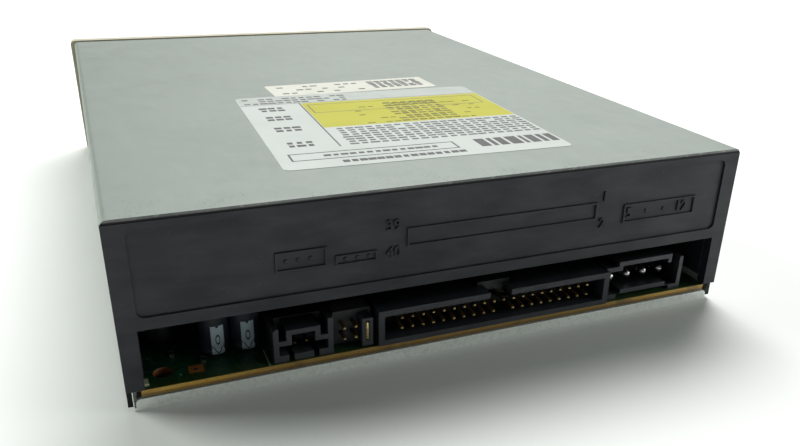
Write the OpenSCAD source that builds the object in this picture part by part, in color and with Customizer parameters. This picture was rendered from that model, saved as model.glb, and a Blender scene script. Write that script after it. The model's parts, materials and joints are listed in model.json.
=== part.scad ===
/* [Case] */
// Width of the steel case
case_w = 146; // [145:0.1:147]
// Height of the steel case
case_h = 41.3; // [41:0.1:42]
// Depth from the rear face to the back of the bezel
case_d = 193.6; // [192:0.1:198]
// Thickness of the top cover sheet
cover_t = 1; // [0.8:0.05:1.1]
// Outer radius of the bends along the top cover
cover_bend_r = 1.4; // [1.2:0.1:2]
// Thickness of the bottom pan sheet
pan_t = 0.8; // [0.6:0.05:1]
// Height of the lip along the rear edge of the pan
lip_h = 2.6; // [2:0.1:2.8]
// Height of the flanges along the sides of the pan
pan_flange_h = 6.2; // [4:0.1:6.4]
// Distance from the bezel back to the front mounting holes
hole_front = 47.4; // [46:0.1:48]
// Distance between front and rear mounting holes
hole_pitch_y = 79.2; // [78:0.1:80]
// Height of the lower row of side holes
side_hole_z = 10; // [9.8:0.1:10.4]
// Height from the lower to the upper row of side holes
side_hole_rise = 11.8; // [11:0.1:12]
// Distance from a side of the case to the row of base holes
base_hole_inset = 3.15; // [3:0.05:3.5]
// Radius of a tapped mounting hole
mount_hole_r = 1.25; // [1.2:0.01:1.3]

/* [Rear panel] */
// Thickness of the rear panel
panel_t = 2.4; // [2:0.1:3]
// Thickness of the panel rim that shows past the cover flanges
panel_rim_t = 1.1; // [0.8:0.1:1.4]
// Height of the feet of the two panel posts
post_foot_z = 5.05; // [4.8:0.05:5.4]
// Width of a panel post beside the connector opening
panel_post_w = 3.6; // [3.4:0.1:4]
// Height of the top edge of the connector opening
opening_top_z = 18.3; // [18:0.1:18.6]
// Inset of the sunken field from the panel sides
field_inset = 4; // [3.6:0.1:4.4]
// Height of the lower edge of the sunken field
field_z0 = 20.9; // [20:0.1:22]
// Height of the upper edge of the sunken field
field_z1 = 38.8; // [37:0.1:39]
// Depth of the sunken field
field_deep = 0.5; // [0.3:0.05:0.6]
// Corner radius of the sunken field
field_r = 1.5; // [1:0.1:2]
// Width and relief of the moulded outlines in the field
outline_w = 0.4; // [0.3:0.05:0.5]

/* [Bezel] */
// Thickness of the bezel
bezel_t = 5; // [4.8:0.1:5.4]
// Amount the bezel stands out past each side of the case
bezel_side_over = 1.3; // [1:0.1:1.6]
// Amount the bezel stands out past the top of the case
bezel_top_over = 0.5; // [0.3:0.1:0.8]
// Thickness of the bezel front wall
bezel_wall = 2.2; // [2:0.1:2.4]
// Width of the tray opening
slot_w = 133.2; // [133:0.1:134]
// Height of the lower edge of the tray opening
slot_z0 = 22; // [21.8:0.1:22.2]
// Height of the tray opening
slot_h = 14.2; // [14:0.1:14.6]
// Gap round the tray door and the buttons
door_gap = 0.35; // [0.3:0.05:0.4]
// Thickness of the tray door
door_t = 3.6; // [3:0.1:3.8]
// Amount the buttons and the wheel stand out of the bezel
knob_out = 1; // [0.8:0.1:1.2]
// Height of the row of controls
control_z = 9.6; // [9.4:0.1:9.8]
// Width of a push button
button_w = 10.4; // [9:0.1:12]
// Height of a push button
button_h = 4.9; // [4.4:0.1:5.4]
// Travel of a push button
button_travel = 0.8; // [0.6:0.05:0.9]
// Radius of the volume wheel
wheel_r = 9; // [8.8:0.1:9.4]
// Thickness of the volume wheel
wheel_t = 2.6; // [2.4:0.1:2.8]
// Radius of the headphone jack bore
jack_bore_r = 1.8; // [1.75:0.01:1.85]

/* [Boards and connectors] */
// Thickness of the circuit boards
board_t = 1.6; // [1.4:0.05:1.7]
// Height of the pressed stand-offs under the boards
standoff_h = 2.25; // [2:0.05:2.3]
// Depth of the main board rear edge behind the rear face
board_d0 = 0.8; // [0.6:0.1:1]
// Depth at which the main board ends
board_d1 = 120; // [116:0.5:122]
// Pitch of the data, jumper and audio pins
pin_pitch = 2.54; // [2.5:0.01:2.6]
// Width of a square pin
pin_w = 0.64; // [0.6:0.01:0.7]
// Columns of data pins
data_cols = 20; // [18:1:20]
// Pitch of the power pins
power_pitch = 5.08; // [5:0.01:5.1]
// Radius of a power pin
power_pin_r = 1.05; // [1:0.01:1.1]
// Radius of a capacitor can
can_r = 3.15; // [2.5:0.05:3.2]
// Height of a capacitor can
can_h = 11; // [10:0.1:12]

/* [Disc tray] */
// Radius of the disc recess
recess_r = 60.6; // [60.4:0.1:61]
// Width of the tray between its rails
tray_w = 128; // [127.6:0.1:128.4]
// Amount a rail stands out of the tray side
rail_out = 2.4; // [2.2:0.1:2.5]
// Height of the top face of the tray
tray_top_z = 30.1; // [30:0.05:30.2]
// Depth of the disc recess below the top face
recess_deep = 3.4; // [3.2:0.05:3.4]
// Thickness of the tray walls and floor
tray_wall = 1.5; // [1.4:0.05:1.6]
// Half width of the slot over the pickup
tray_slot_half = 25; // [24:0.1:26]
// Travel of the tray
tray_travel = 135; // [130:0.5:135]
// Distance from the bezel back to the disc centre
disc_from_bezel = 68; // [67.6:0.1:68.4]

/* [Mechanism] */
// Tooth module of the loading gears
load_mod = 1; // [1:0.01:1.01]
// Teeth of the gear that drives the tray
tray_teeth = 24; // [24:2:24]
// Teeth of the gear above the large pulley
pulley_teeth = 12; // [12:2:12]
// Radius of the belt seat on the large pulley
pulley_r = 12; // [11:0.1:12]
// Radius of the belt seat on the motor pulley
motor_pulley_r = 3.5; // [3.2:0.1:3.8]
// Width of the square belt
belt_w = 1.1; // [1:0.05:1.1]
// Thickness of the steel traverse plate
plate_t = 1.5; // [1.4:0.05:1.6]
// Height of the underside of the traverse plate
plate_z = 20.5; // [20.4:0.05:20.6]
// Angle that the deck drops to free the disc
deck_drop_deg = 5.6; // [5:0.1:5.7]
// Travel of the cam slider
cam_travel = 18; // [17:0.1:18.5]
// Radius of the turntable
turntable_r = 16; // [15:0.1:16.5]
// Radius of the clamp puck
puck_r = 17; // [16:0.1:18]
// Radius of the spindle motor
spindle_r = 13; // [12:0.1:13.4]
// Radius of a guide rod
rod_r = 1.5; // [1.4:0.05:1.6]
// Distance from the centre line to a guide rod
rod_x0 = 24; // [23.8:0.1:24.2]
// Tooth module of the sled gears
sled_mod = 0.6; // [0.6:0.01:0.6]
// Teeth of the large sled gear
sled_teeth = 40; // [40:2:40]
// Teeth of the small step on the sled gear
step_teeth = 14; // [14:2:14]
// Teeth of the sled motor pinion
pinion_teeth = 10; // [10:2:10]

/* [Hidden] */
$fn = 64;
// Overrun of every cut
cut = 1;
// Small gap between fixed pieces
fit = 0.1;
// Running gap of a shaft in its bore
run = 0.06;
// The belt's straight runs sit this far inside the pulleys' tangents
belt_ease = 0.02;
// Round tail of a pin, as a share of the pin
tail_share = 0.8;
// Gap between sliding and turning pieces
clear = 0.3;

// Case places
half_w = case_w / 2;
rear_y = (case_d + bezel_t + knob_out) / 2;
face_d = case_d + bezel_t;
bezel_pocket_d = face_d - bezel_wall;
inner_top_z = case_h - cover_t;
cover_foot_z = 1;
pan_half = half_w - cover_t - 2 * fit;
pan_front_gap = 0.3;
lip_d = 0.9;
lip_inset = 0.3;
lip_r = 1;
frame_half = half_w - cover_t - clear;
wall_t = 2.5;
wall_in = frame_half - wall_t;
wall_z0 = pan_flange_h + pan_t;
wall_z1 = inner_top_z - clear;
disc_d = case_d - disc_from_bezel;
tray_half = tray_w / 2;
base_hole_x = half_w - base_hole_inset;
hole_ds = [case_d - hole_front, case_d - hole_front - hole_pitch_y];
side_hole_zs = [side_hole_z, side_hole_z + side_hole_rise];
screw_clear_r = 2;
collar_r = 1.85;
collar_h = 1.6;
notch_half = 6;
bead_r = 4;
bead_sink = 2.6;
bead_inset = 27;
bead_half = half_w - bead_inset;
bead_from_bezel = [111.6, 55.6];
bead_ds = [for (b = bead_from_bezel) case_d - b];

// Moulded outlines round the connector legends
legend_z = 28.2;
jumper_legend_drop = 1.35;
ide_legend_rise = 1.7;
audio_legend = [10.6, 4.25];
jumper_legend = [9, 2.3];
ide_legend = [47.2, 4.2];
power_legend = [20.9, 4.65];

// Posts that the case screws go up into
case_post_inset = 9;
case_post_x = half_w - case_post_inset;
case_post_rear = 22;
case_post_front = 11.6;
case_post_ds = [case_post_rear, case_d - case_post_front];
case_post_r = 3.5;
case_post_top = 12;
case_rib_t = 3;
screw_r = 1.3;
screw_head_r = 2.6;
screw_len = 7;

// Boards
board_z = pan_t + standoff_h;
board_top = board_z + board_t;
board_half = wall_in + cover_t;
standoff_r = 3;
standoff_inset = 21;
standoff_x = half_w - standoff_inset;
standoff_front = 12;
standoff_ds = [30, 62, board_d1 - standoff_front];
standoff_xd = [for (d = standoff_ds) [standoff_x, d]];
front_standoff_inset = 33;
front_standoff_back = 12.6;
front_standoff_xd = [[half_w - front_standoff_inset, case_d - front_standoff_back]];
front_board_inset = 13;
front_board_half = half_w - front_board_inset;
front_board_back = [22.6, 2.8];
front_board_d = [case_d - front_board_back[0], case_d - front_board_back[1]];
locating_inset = 7.6;
locating_d = 6.2;
locating_hole = [half_w - locating_inset, locating_d];
locating_r = 2.05;
board_screw_inset = 33;
board_screw_x = half_w - board_screw_inset;
board_screw_rear = 34;
board_screw_xd = [[-board_screw_x, board_d1 - standoff_front], [board_screw_x, board_screw_rear]];

// Data connector
ide_x = -9.5;
ide_half = 29.9;
ide_d = [0.3, 9.5];
ide_z1 = 13.2;
ide_wall = 1.4;
ide_floor_t = 1.3;
ide_deep = 7.4;
data_row_z = [7.92, 10.46];
data_tip_d = 0.9;
data_tail_ds = [10.6, 13.1];
missing_pin = 10;
key_half = 2.75;
key_deep = 4.6;
key_rise = 0.9;
key_back_d = 7.4;

// Power connector
power_x = -51.2;
power_half = 11.7;
power_d = [1.8, 14];
power_wall = 1.2;
power_shoulder_z = 13.4;
power_top_z = 14.6;
power_foot_w = 3.6;
power_step = 1.1;
power_pin_z = 8.95;
power_tip_d = 5;
power_back_d = 11.5;
power_gap = [8, 10.6];

// Audio connector
audio_x = 36.9;
audio_half = 6.5;
audio_d = [1.2, 9];
audio_wall = 1.2;
audio_side_z = 13.4;
audio_ledge_z = 9.7;
audio_mid_z = 12.1;
audio_mid_half = 3.7;
audio_floor_t = 1.6;
audio_slot_half = 0.55;
audio_slot_x = 2.7;
audio_back_d = 7;
audio_pin_z = 7.4;
audio_tip_d = 3.8;

// Jumper block
jumper_x = 25.3;
jumper_row_z = [7.7, 10.3];
jumper_tip_d = 1;
jumper_body_d = [4.4, 9];
jumper_half = 4.4;
jumper_top_z = 12.8;
cap_half_w = 1.25;
cap_d = [0.9, 4.2];
cap_z = [5.2, 11.9];
cap_slot_half = 0.36;

// Capacitors and chips on the main board
can_xs = [53.9, 47.3];
can_d = 11.6;
can_gap = 0.2;
seal_h = 1.4;
can_groove = 0.5;
chip_t = 1.9;
chip_sides = [[20, 60, 12, 12], [-26, 52, 8, 8], [-24, 92, 5, 9], [22, 104, 9, 5], [4, 30, 10, 4]];
leg_out = 1.3;
leg_t = 0.35;
leg_z = 0.9;
leg_pitch = 1.3;
crystal_xd = [40, 60];
crystal_r = 1.7;
crystal_half = 3.2;
crystal_h = 3.4;
ribbon_x = -44;
ribbon_half = 6;
ribbon_t = 0.25;
ribbon_rise = 0.75;
socket_over = 1.6;
socket_h = 2.3;
socket_deep = 4;
ribbon_in = [4.5, 2];
ribbon_d = [board_d1 - ribbon_in[0], front_board_d[0] + ribbon_in[1]];

// Bezel controls
jack_inset = 19;
jack_x = jack_inset - half_w;
volume_from_jack = 18;
volume_x = jack_x + volume_from_jack;
eject_inset = 20;
eject_x = half_w - eject_inset;
button_pitch = 19;
play_x = eject_x - button_pitch;
eject_hole_from_play = 12;
eject_hole_x = play_x - eject_hole_from_play;
led_from_hole = 10;
led_x = eject_hole_x - led_from_hole;
eject_hole_r = 0.8;
jack_half = 5.6;
jack_body_rise = 4.4;
jack_top_z = control_z + jack_body_rise;
jack_body_l = 12.6;
jack_body_d = [case_d - jack_body_l, case_d - clear];
jack_barrel_r = 3.1;
jack_gap = 0.3;
jack_deep = 14;
wheel_d = face_d + knob_out - wheel_r;
wheel_z = [control_z - wheel_t / 2, control_z + wheel_t / 2];
wheel_slot_half = 7.4;
wheel_ribs = 36;
wheel_rib_deep = 0.35;
wheel_pin_r = 1.6;
pot_half = 4.5;
button_deep = 4.4;
button_back_d = face_d - button_deep;
button_stem_r = 1.5;
button_stem_deep = 8.2;
button_stem_d = face_d - button_stem_deep;
button_flange = 0.9;
button_flange_t = 0.9;
switch_half = 3;
switch_gap = 2;
switch_l = 4.4;
switch_d = [button_stem_d - switch_gap - switch_l, button_stem_d - switch_gap];
switch_rise = 2;
switch_top_z = control_z + switch_rise;
plunger_r = 1.2;
lens_half_w = 2.1;
lens_half_h = 1.1;
led_deep = [11.4, 8];
led_d = [face_d - led_deep[0], face_d - led_deep[1]];
led_half = 1.6;
bezel_corner_r = 1.6;
bezel_chamfer = 0.8;
bezel_rim = 2.4;
clip_w = 6.5;
clip_z0 = 9.6;
clip_reach = 10;
clip_t = 1.6;
clip_hook = 1.6;
clip_hook_l = 2.4;

// Tray places
tray_tail = 95.6;
tray_front_gap = 0.4;
tray_d = [max(panel_t + clear, disc_d - tray_tail), case_d - tray_front_gap];
recess_z = tray_top_z - recess_deep;
floor_z = recess_z - tray_wall;
small_recess_r = 40.5;
small_recess_deep = 0.5;
rail_z = [25.6, 27.4];
skirt_z = 23.4;
finger_r = 9;
finger_back = 4;
door_z = [slot_z0 + door_gap, slot_z0 + slot_h - door_gap];
door_half = slot_w / 2 - door_gap;
door_lug_x = [30, 48];
door_chamfer = 0.6;
ledge_gap = 1;
ledge_x = tray_half + ledge_gap;
ledge_t = 1.2;
guide_t = 1.5;
guide_rear = [85.6, 69.6];
guide_mid = [27.6, 15.6];
guide_front = [31.6, 17.6];
guide_spans = [
    [disc_d - guide_rear[0], disc_d - guide_rear[1]],
    [disc_d - guide_mid[0], disc_d - guide_mid[1]],
    [case_d - guide_front[0], case_d - guide_front[1]]
];

// Loading gears
tooth_angle = 20;
tip_share = 0.85;
root_share = 1.15;
tooth_shares = [-root_share, -0.5, 0, 0.45, tip_share];
gear_from_bezel = 21.6;
gear_d = case_d - gear_from_bezel;
tray_gear_x = 44;
tray_pr = load_mod * tray_teeth / 2;
pulley_pr = load_mod * pulley_teeth / 2;
pulley_x = tray_gear_x - tray_pr - pulley_pr;
rack_x = tray_gear_x + tray_pr;
motor_reach = 34;
motor_x = pulley_x - motor_reach;
load_backlash = 0.16;
floor_plate_z = [18, 19.5];
floor_plate_back = [33.6, 3.6];
floor_plate_d = [case_d - floor_plate_back[0], case_d - floor_plate_back[1]];
pulley_z = [19.8, 22];
flange_t = 0.5;
flange_out = 1;
gear_z = [22.2, 24.6];
gear_pin_r = 1.5;
gear_pin_top = 24.9;
gear_hub_r = 4;
gear_web_r = [5.4, 9.4];
rack_z = 22.4;
rack_back = 4;
rack_pitch = PI * load_mod;
rack_travel_teeth = ceil(tray_travel / rack_pitch);
rack_count = floor((tray_d[1] - tray_wall - gear_d) / rack_pitch - 0.5) + rack_travel_teeth + 2;
rack_first_d = gear_d - (rack_travel_teeth + 1.5) * rack_pitch;
motor_can_r = 12;
motor_z = [7, floor_plate_z[0] - clear];
motor_boss_r = 3.5;
shaft_r = 1;
shaft_z = 11;

// Cam slider and its channel
cam_from_bezel = 36.6;
cam_t = 2;
cam_d = [case_d - cam_from_bezel - cam_t, case_d - cam_from_bezel];
cam_foot_out = 0.4;
cam_foot_d = [cam_d[0] - cam_foot_out, cam_d[1] + cam_foot_out];
cam_z = [3.9, 21.6];
cam_foot_z = 5;
cam_x = [-29, 14];
cam_rib = 1.2;
channel_x = [-33, 37];
channel_z = [1.1, 3.6];
channel_rib_z = 5.1;
channel_rib_t = 1;
lift_pin_r = 1.5;
lift_pin_out = 1.2;
lift_pin_end = cam_d[1] + lift_pin_out;
pivot_from_disc = 82.6;
pivot_d = disc_d - pivot_from_disc;
pivot_z = 18.2;
pivot_r = 2.5;
pivot_x = [58, 63];
pivot_block_x = 59.4;
pivot_block_half = 4.6;
pivot_block_z = 12.6;
pivot_block_top = 22.2;
lift_arm = (cam_d[0] + cam_d[1]) / 2 - pivot_d;
lift_fall = lift_arm * sin(deck_drop_deg);
slot_clear = 0.3;
cam_rack_z = [16.4, 18.6];
cam_rack_out = 1.9;
cam_rack_teeth = 8;

// Deck frame and traverse plate
ring_half = 58;
ring_in = 52;
ring_from_disc = 85.6;
ring_cam_gap = 3;
ring_d = [disc_d - ring_from_disc, cam_d[0] - ring_cam_gap];
ring_bars = [5.5, 5];
ring_in_d = [ring_d[0] + ring_bars[0], ring_d[1] - ring_bars[1]];
ring_z = [16.5, 20];
lug_r = 4.4;
lug_top = 19;
damper_x = 46;
damper_from_disc = [-71.6, 14.4];
damper_xd = [for (b = damper_from_disc) [damper_x, disc_d + b]];
damper_r = 3.8;
damper_neck_r = 2.5;
damper_top_t = 1;
damper_screw_r = 1.3;
damper_head_r = 3;
damper_head_t = 0.9;
plate_half = 50.3;
plate_from_disc = [77.6, 20.4];
plate_d = [disc_d - plate_from_disc[0], disc_d + plate_from_disc[1]];
plate_top = plate_z + plate_t;
window_half = 33.5;
window_from_disc = [74.1, 12.6];
window_d = [disc_d - window_from_disc[0], disc_d - window_from_disc[1]];
rod_from_disc = [77.6, 10.6];
rod_d = [disc_d - rod_from_disc[0], disc_d - rod_from_disc[1]];
rod_z = 18.5;
bracket_w = 3.4;
bracket_t = 2.6;

// Spindle and clamp
spindle_z = 13.5;
spindle_boss_r = 5;
spindle_boss_top = 22.6;
spindle_shaft_r = 1.2;
spindle_shaft_z = 15;
seat_rise = 0.2;
seat_z = tray_top_z + seat_rise;
seat_t = 2.2;
hub_r = 7.4;
hub_base_r = 6;
hub_base_z = 23;
cone_h = 2.1;
bridge_drop = 2;
bridge_t = 1.5;
bridge_z = [inner_top_z - bridge_drop - bridge_t, inner_top_z - bridge_drop];
bridge_half_d = 14;
bridge_hole_r = 11;
bridge_shelf_inset = 8.5;
bridge_shelf_x = half_w - bridge_shelf_inset;
puck_t = 2.8;
puck_z = [seat_z + clear, seat_z + clear + puck_t];
puck_neck_r = 9.6;
puck_recess_r = 8.2;
yoke_r = 13.5;
yoke_t = 1.1;
yoke_z = bridge_z[1] + clear;

// Pickup
lens_from_disc = 24;
lens_d = disc_d - lens_from_disc;
sled_half = 29.2;
sled_from_lens = [15.6, 8.8];
sled_d = [lens_d - sled_from_lens[0], lens_d + sled_from_lens[1]];
sled_z = [15.2, 21.6];
sled_lug_w = 6.4;
sled_fork_gap = 8;
yoke_half_w = 5;
yoke_up_t = 1.2;
yoke_from_lens = [-6.4, 5.2];
yoke_ds = [for (b = yoke_from_lens) lens_d + b];
yoke_base_t = 0.8;
yoke_top_z = 26;
holder_half_w = 6;
holder_half_d = 4.4;
holder_d = [lens_d - holder_half_d, lens_d + holder_half_d];
holder_z = [23.2, 26.6];
lens_r = 2.4;
lens_h = 1;
sled_rack_from_lens = [21.6, 19.4];
sled_rack_d = [lens_d - sled_rack_from_lens[0], lens_d + sled_rack_from_lens[1]];
sled_rack_z = [15.6, 18];
sled_pitch_x = 31.5;
sled_gear_from_disc = 41.6;
sled_gear_d = disc_d - sled_gear_from_disc;
sled_rack_pitch = PI * sled_mod;
sled_rack_count = floor((sled_rack_d[1] - sled_rack_d[0]) / sled_rack_pitch);
sled_rack_first = floor((sled_gear_d - sled_rack_d[0]) / sled_rack_pitch) + 0.5;
step_pr = sled_mod * step_teeth / 2;
sled_gear_pr = sled_mod * sled_teeth / 2;
pinion_pr = sled_mod * pinion_teeth / 2;
sled_gear_x = sled_pitch_x + step_pr;
sled_backlash = 0.12;
sled_gear_z = [12.4, 14];
step_z = [14, 19.4];
sled_pin_r = 1.2;
pinion_turn = 60;
pinion_x = sled_gear_x + (sled_gear_pr + pinion_pr) * cos(pinion_turn);
pinion_d = sled_gear_d + (sled_gear_pr + pinion_pr) * sin(pinion_turn);
// A tooth of the pinion faces a gap of the sled gear along their line of centres
tooth_lag = -pinion_turn - 360 / sled_teeth * round(-pinion_turn * sled_teeth / 360);
pinion_phase = 180 - pinion_turn + 180 / pinion_teeth + tooth_lag * sled_teeth / pinion_teeth;
sled_motor_r = 7;
sled_motor_z = 14.6;
sled_shaft_r = 0.75;

// Block between two x, two depths behind the rear face and two heights
module block(x, d, z) {
    translate([x[0], rear_y - d[1], z[0]])
        cube([x[1] - x[0], d[1] - d[0], z[1] - z[0]]);
}

// Upright cylinder or cone
module post(x, d, z, r, top_r = undef) {
    translate([x, rear_y - d, z[0]])
        cylinder(r1 = r, r2 = is_undef(top_r) ? r : top_r, h = z[1] - z[0]);
}

// Cylinder along the depth
module rod_y(x, d, z, r) {
    translate([x, rear_y - d[1], z]) rotate([-90, 0, 0]) cylinder(r = r, h = d[1] - d[0]);
}

// round bar along the depth with a ball-shaped outer end
module round_pin(x, d, z, r) {
    reach = d[1] - d[0];
    translate([x, rear_y - d[1], z]) rotate([-90, 0, 0]) rotate_extrude() intersection() {
        union() {
            square([r, reach - r]);
            translate([0, reach - r]) circle(r);
        }
        square([2 * r, reach + r]);
    }
}

// Cylinder along the width
module rod_x(x, d, z, r) {
    translate([x[0], rear_y - d, z]) rotate([0, 90, 0]) cylinder(r = r, h = x[1] - x[0]);
}

module both_sides() {
    children();
    mirror([1, 0, 0]) children();
}

// Outline standing in the width and height, pushed along the depth
module across(d) {
    translate([0, rear_y - d[0], 0]) rotate([90, 0, 0]) linear_extrude(d[1] - d[0]) children();
}

module round_rect(x, z, r) {
    translate([x[0] + r, z[0]]) square([x[1] - x[0] - 2 * r, z[1] - z[0]]);
    translate([x[0], z[0] + r]) square([x[1] - x[0], z[1] - z[0] - 2 * r]);
    for (cx = [x[0] + r, x[1] - r], cz = [z[0] + r, z[1] - r]) translate([cx, cz]) circle(r);
}

// Square foot with rounded top corners
module arch(half, h, r) {
    translate([-half, 0]) square([2 * half, h - r]);
    translate([r - half, 0]) square([2 * (half - r), h]);
    for (s = [-1, 1]) translate([s * (half - r), h - r]) circle(r);
}

// Involute tooth form
function roll(a) = tan(a) * 180 / PI - a;
function tooth_half(r, pr, n, slack) =
    let (base = pr * cos(tooth_angle), reach = max(r, base))
    90 / n - slack * 90 / (PI * pr) + roll(tooth_angle) - roll(acos(base / reach));
function gear_points(n, m, slack) =
    let (pr = n * m / 2, radii = [for (s = tooth_shares) pr + s * m])
    [for (i = [0 : n - 1], side = [-1, 1], k = [0 : 4])
        let (r = side < 0 ? radii[k] : radii[4 - k],
             a = i * 360 / n + side * tooth_half(r, pr, n, slack))
        [r * cos(a), r * sin(a)]];

module gear(x, d, z, n, m, slack, turn = 0) {
    translate([x, rear_y - d, z[0]]) rotate(turn)
        linear_extrude(z[1] - z[0]) polygon(gear_points(n, m, slack));
}

// Straight row of teeth that points towards the centre line, pitch line at x
module rack(x, d0, count, z, m, slack, back) {
    pitch = PI * m;
    add = tip_share * m;
    ded = root_share * m;
    half = pitch / 4 - slack / 2;
    lean = tan(tooth_angle);
    for (i = [0 : count - 1])
        translate([x, rear_y - d0 - i * pitch, z[0]]) linear_extrude(z[1] - z[0])
            polygon([[-add, half - add * lean], [-add, add * lean - half],
                [ded, -half - ded * lean], [ded, half + ded * lean]]);
    translate([x + ded, rear_y - d0 - (count - 0.5) * pitch, z[0]])
        cube([back - ded, count * pitch, z[1] - z[0]]);
}

// Pulley with a seat between two flanges
module pulley(x, d, z, seat) {
    post(x, d, z, seat);
    post(x, d, [z[0], z[0] + flange_t], seat + flange_out);
    post(x, d, [z[1] - flange_t, z[1]], seat + flange_out);
}

// Casing

module top_cover() {
    color("#b4beb6") difference() {
        across([fit, case_d]) difference() {
            arch(half_w, case_h, cover_bend_r);
            translate([0, -cut]) arch(half_w - cover_t, inner_top_z + cut, cover_bend_r - cover_t);
            translate([-half_w - cut, -cut]) square([case_w + 2 * cut, cover_foot_z + cut]);
        }
        both_sides() {
            block([half_w - cover_t - cut, half_w + cut], [-cut, panel_rim_t + fit], [-cut, inner_top_z]);
            for (d = hole_ds, z = side_hole_zs)
            rod_x([half_w - cover_t - cut, half_w + cut], d, z, mount_hole_r);
        }
    }
}

module bottom_cover() {
    color("#c9ccca") difference() {
        union() {
            block([-pan_half, pan_half], [lip_d, case_d - pan_front_gap], [0, pan_t]);
            across([lip_d, lip_d + pan_t]) arch(pan_half - lip_inset, lip_h, lip_r);
            both_sides() {
                difference() {
                    block([pan_half - pan_t, pan_half], [lip_d + lip_h, case_d - lip_h], [0, pan_flange_h]);
                    for (d = hole_ds)
                        block([pan_half - pan_t - cut, pan_half + cut], [d - notch_half, d + notch_half],
                            [pan_t, pan_flange_h + cut]);
                }
                for (d = hole_ds) post(base_hole_x, d, [0, pan_t + collar_h], collar_r);
                for (p = concat(standoff_xd, front_standoff_xd)) post(p[0], p[1], [0, board_z], standoff_r);
            }
            intersection() {
                for (d = bead_ds) rod_x([-bead_half, bead_half], d, -bead_sink, bead_r);
                block([-half_w, half_w], [0, case_d], [0, board_z]);
            }
        }
        both_sides() {
            for (d = hole_ds) post(base_hole_x, d, [-cut, pan_t + collar_h + cut], mount_hole_r);
            for (p = concat(standoff_xd, front_standoff_xd))
                post(p[0], p[1], [-cut, board_z - pan_t], standoff_r - pan_t);
            for (d = case_post_ds) {
                post(case_post_x, d, [-cut, pan_t + cut], screw_r + fit);
                post(case_post_x, d, [0, pan_t], screw_head_r + fit, screw_r + fit);
            }
        }
        for (d = bead_ds) rod_x([pan_t - bead_half, bead_half - pan_t], d, -bead_sink, bead_r - pan_t);
    }
}

// Moulded outline round one connector legend
module legend_outline(x, z, w, h) {
    across([field_deep - outline_w, field_deep + fit]) difference() {
        translate([x - w / 2, z - h / 2]) square([w, h]);
        translate([x - w / 2 + outline_w, z - h / 2 + outline_w])
            square([w - 2 * outline_w, h - 2 * outline_w]);
    }
}

module rear_panel() {
    difference() {
        union() {
            block([-half_w, half_w], [0, panel_rim_t], [post_foot_z, inner_top_z]);
            block([-frame_half, frame_half], [panel_rim_t, panel_t], [post_foot_z, inner_top_z - fit]);
        }
        block([panel_post_w - half_w, half_w - panel_post_w], [-cut, panel_t + cut], [0, opening_top_z]);
        across([-cut, field_deep])
            round_rect([field_inset - half_w, half_w - field_inset], [field_z0, field_z1], field_r);
    }
    legend_outline(audio_x, legend_z, audio_legend[0], audio_legend[1]);
    legend_outline(jumper_x, legend_z - jumper_legend_drop, jumper_legend[0], jumper_legend[1]);
    legend_outline(ide_x, legend_z + ide_legend_rise, ide_legend[0], ide_legend[1]);
    legend_outline(power_x, legend_z, power_legend[0], power_legend[1]);
}

module frame_side() {
    difference() {
        block([wall_in, frame_half], [panel_t, case_d - clear], [wall_z0, wall_z1]);
        for (d = hole_ds, z = side_hole_zs) rod_x([wall_in - cut, frame_half + cut], d, z, screw_clear_r);
        block([wall_in - cut, frame_half + cut],
            [case_d - clip_reach, case_d - clip_reach + clip_hook_l + 2 * clear],
            [clip_z0 - clear, clip_z0 + clip_w + clear]);
    }
    // Ledge under the tray rail and the tabs over it
    block([ledge_x, wall_in], [panel_t + lip_h, case_d - clear],
        [rail_z[0] - 2 * fit - ledge_t, rail_z[0] - 2 * fit]);
    for (g = guide_spans)
        block([ledge_x, wall_in], g, [rail_z[1] + clear, rail_z[1] + clear + guide_t]);
    // Shelf that carries the clamp bridge
    block([bridge_shelf_x, wall_in], [disc_d - bridge_half_d, disc_d + bridge_half_d],
        [bridge_z[0] - tray_wall, bridge_z[0]]);
    // Bearing block of the deck pivot
    difference() {
        block([pivot_block_x, wall_in], [pivot_d - pivot_block_half, pivot_d + pivot_block_half],
            [pivot_block_z, pivot_block_top]);
        rod_x([pivot_block_x - cut, pivot_x[1] + clear], pivot_d, pivot_z, pivot_r + run);
    }
    // Screw posts
    for (d = case_post_ds) difference() {
        union() {
            post(case_post_x, d, [pan_t, d > disc_d ? floor_plate_z[0] : case_post_top], case_post_r);
            block([case_post_x, wall_in], [d - case_rib_t / 2, d + case_rib_t / 2], [wall_z0, case_post_top]);
        }
        post(case_post_x, d, [pan_t - cut, pan_t + screw_len + cut], screw_r);
    }
    // Leg that carries the end of the slider channel
    block([case_post_x, frame_half], [cam_foot_d[0] - 2 * channel_rib_t, cam_foot_d[1] + 2 * channel_rib_t],
        [channel_z[0] + pan_flange_h, wall_z0 + wall_t]);
    block([case_post_x, pan_half - pan_t - clear],
        [cam_foot_d[0] - 2 * channel_rib_t, cam_foot_d[1] + 2 * channel_rib_t],
        [channel_z[0], wall_z0 + wall_t]);
}

module main_frame() {
    color("#2b2c2e") {
        rear_panel();
        both_sides() frame_side();
        // Floor that carries the loading motor and gears
        difference() {
            block([-wall_in - fit, wall_in + fit], floor_plate_d, floor_plate_z);
            post(motor_x, gear_d, [floor_plate_z[0] - cut, floor_plate_z[1] + cut], motor_boss_r + fit);
        }
        for (x = [tray_gear_x, pulley_x]) post(x, gear_d, [floor_plate_z[1], gear_pin_top], gear_pin_r);
        // Channel of the cam slider
        block([-case_post_x - fit, case_post_x + fit],
            [cam_foot_d[0] - 2 * channel_rib_t, cam_foot_d[1] + 2 * channel_rib_t], channel_z);
        for (d = [cam_foot_d[0] - clear - channel_rib_t, cam_foot_d[1] + clear])
            block(channel_x, [d, d + channel_rib_t], [channel_z[0], channel_rib_z]);
    }
}

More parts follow.
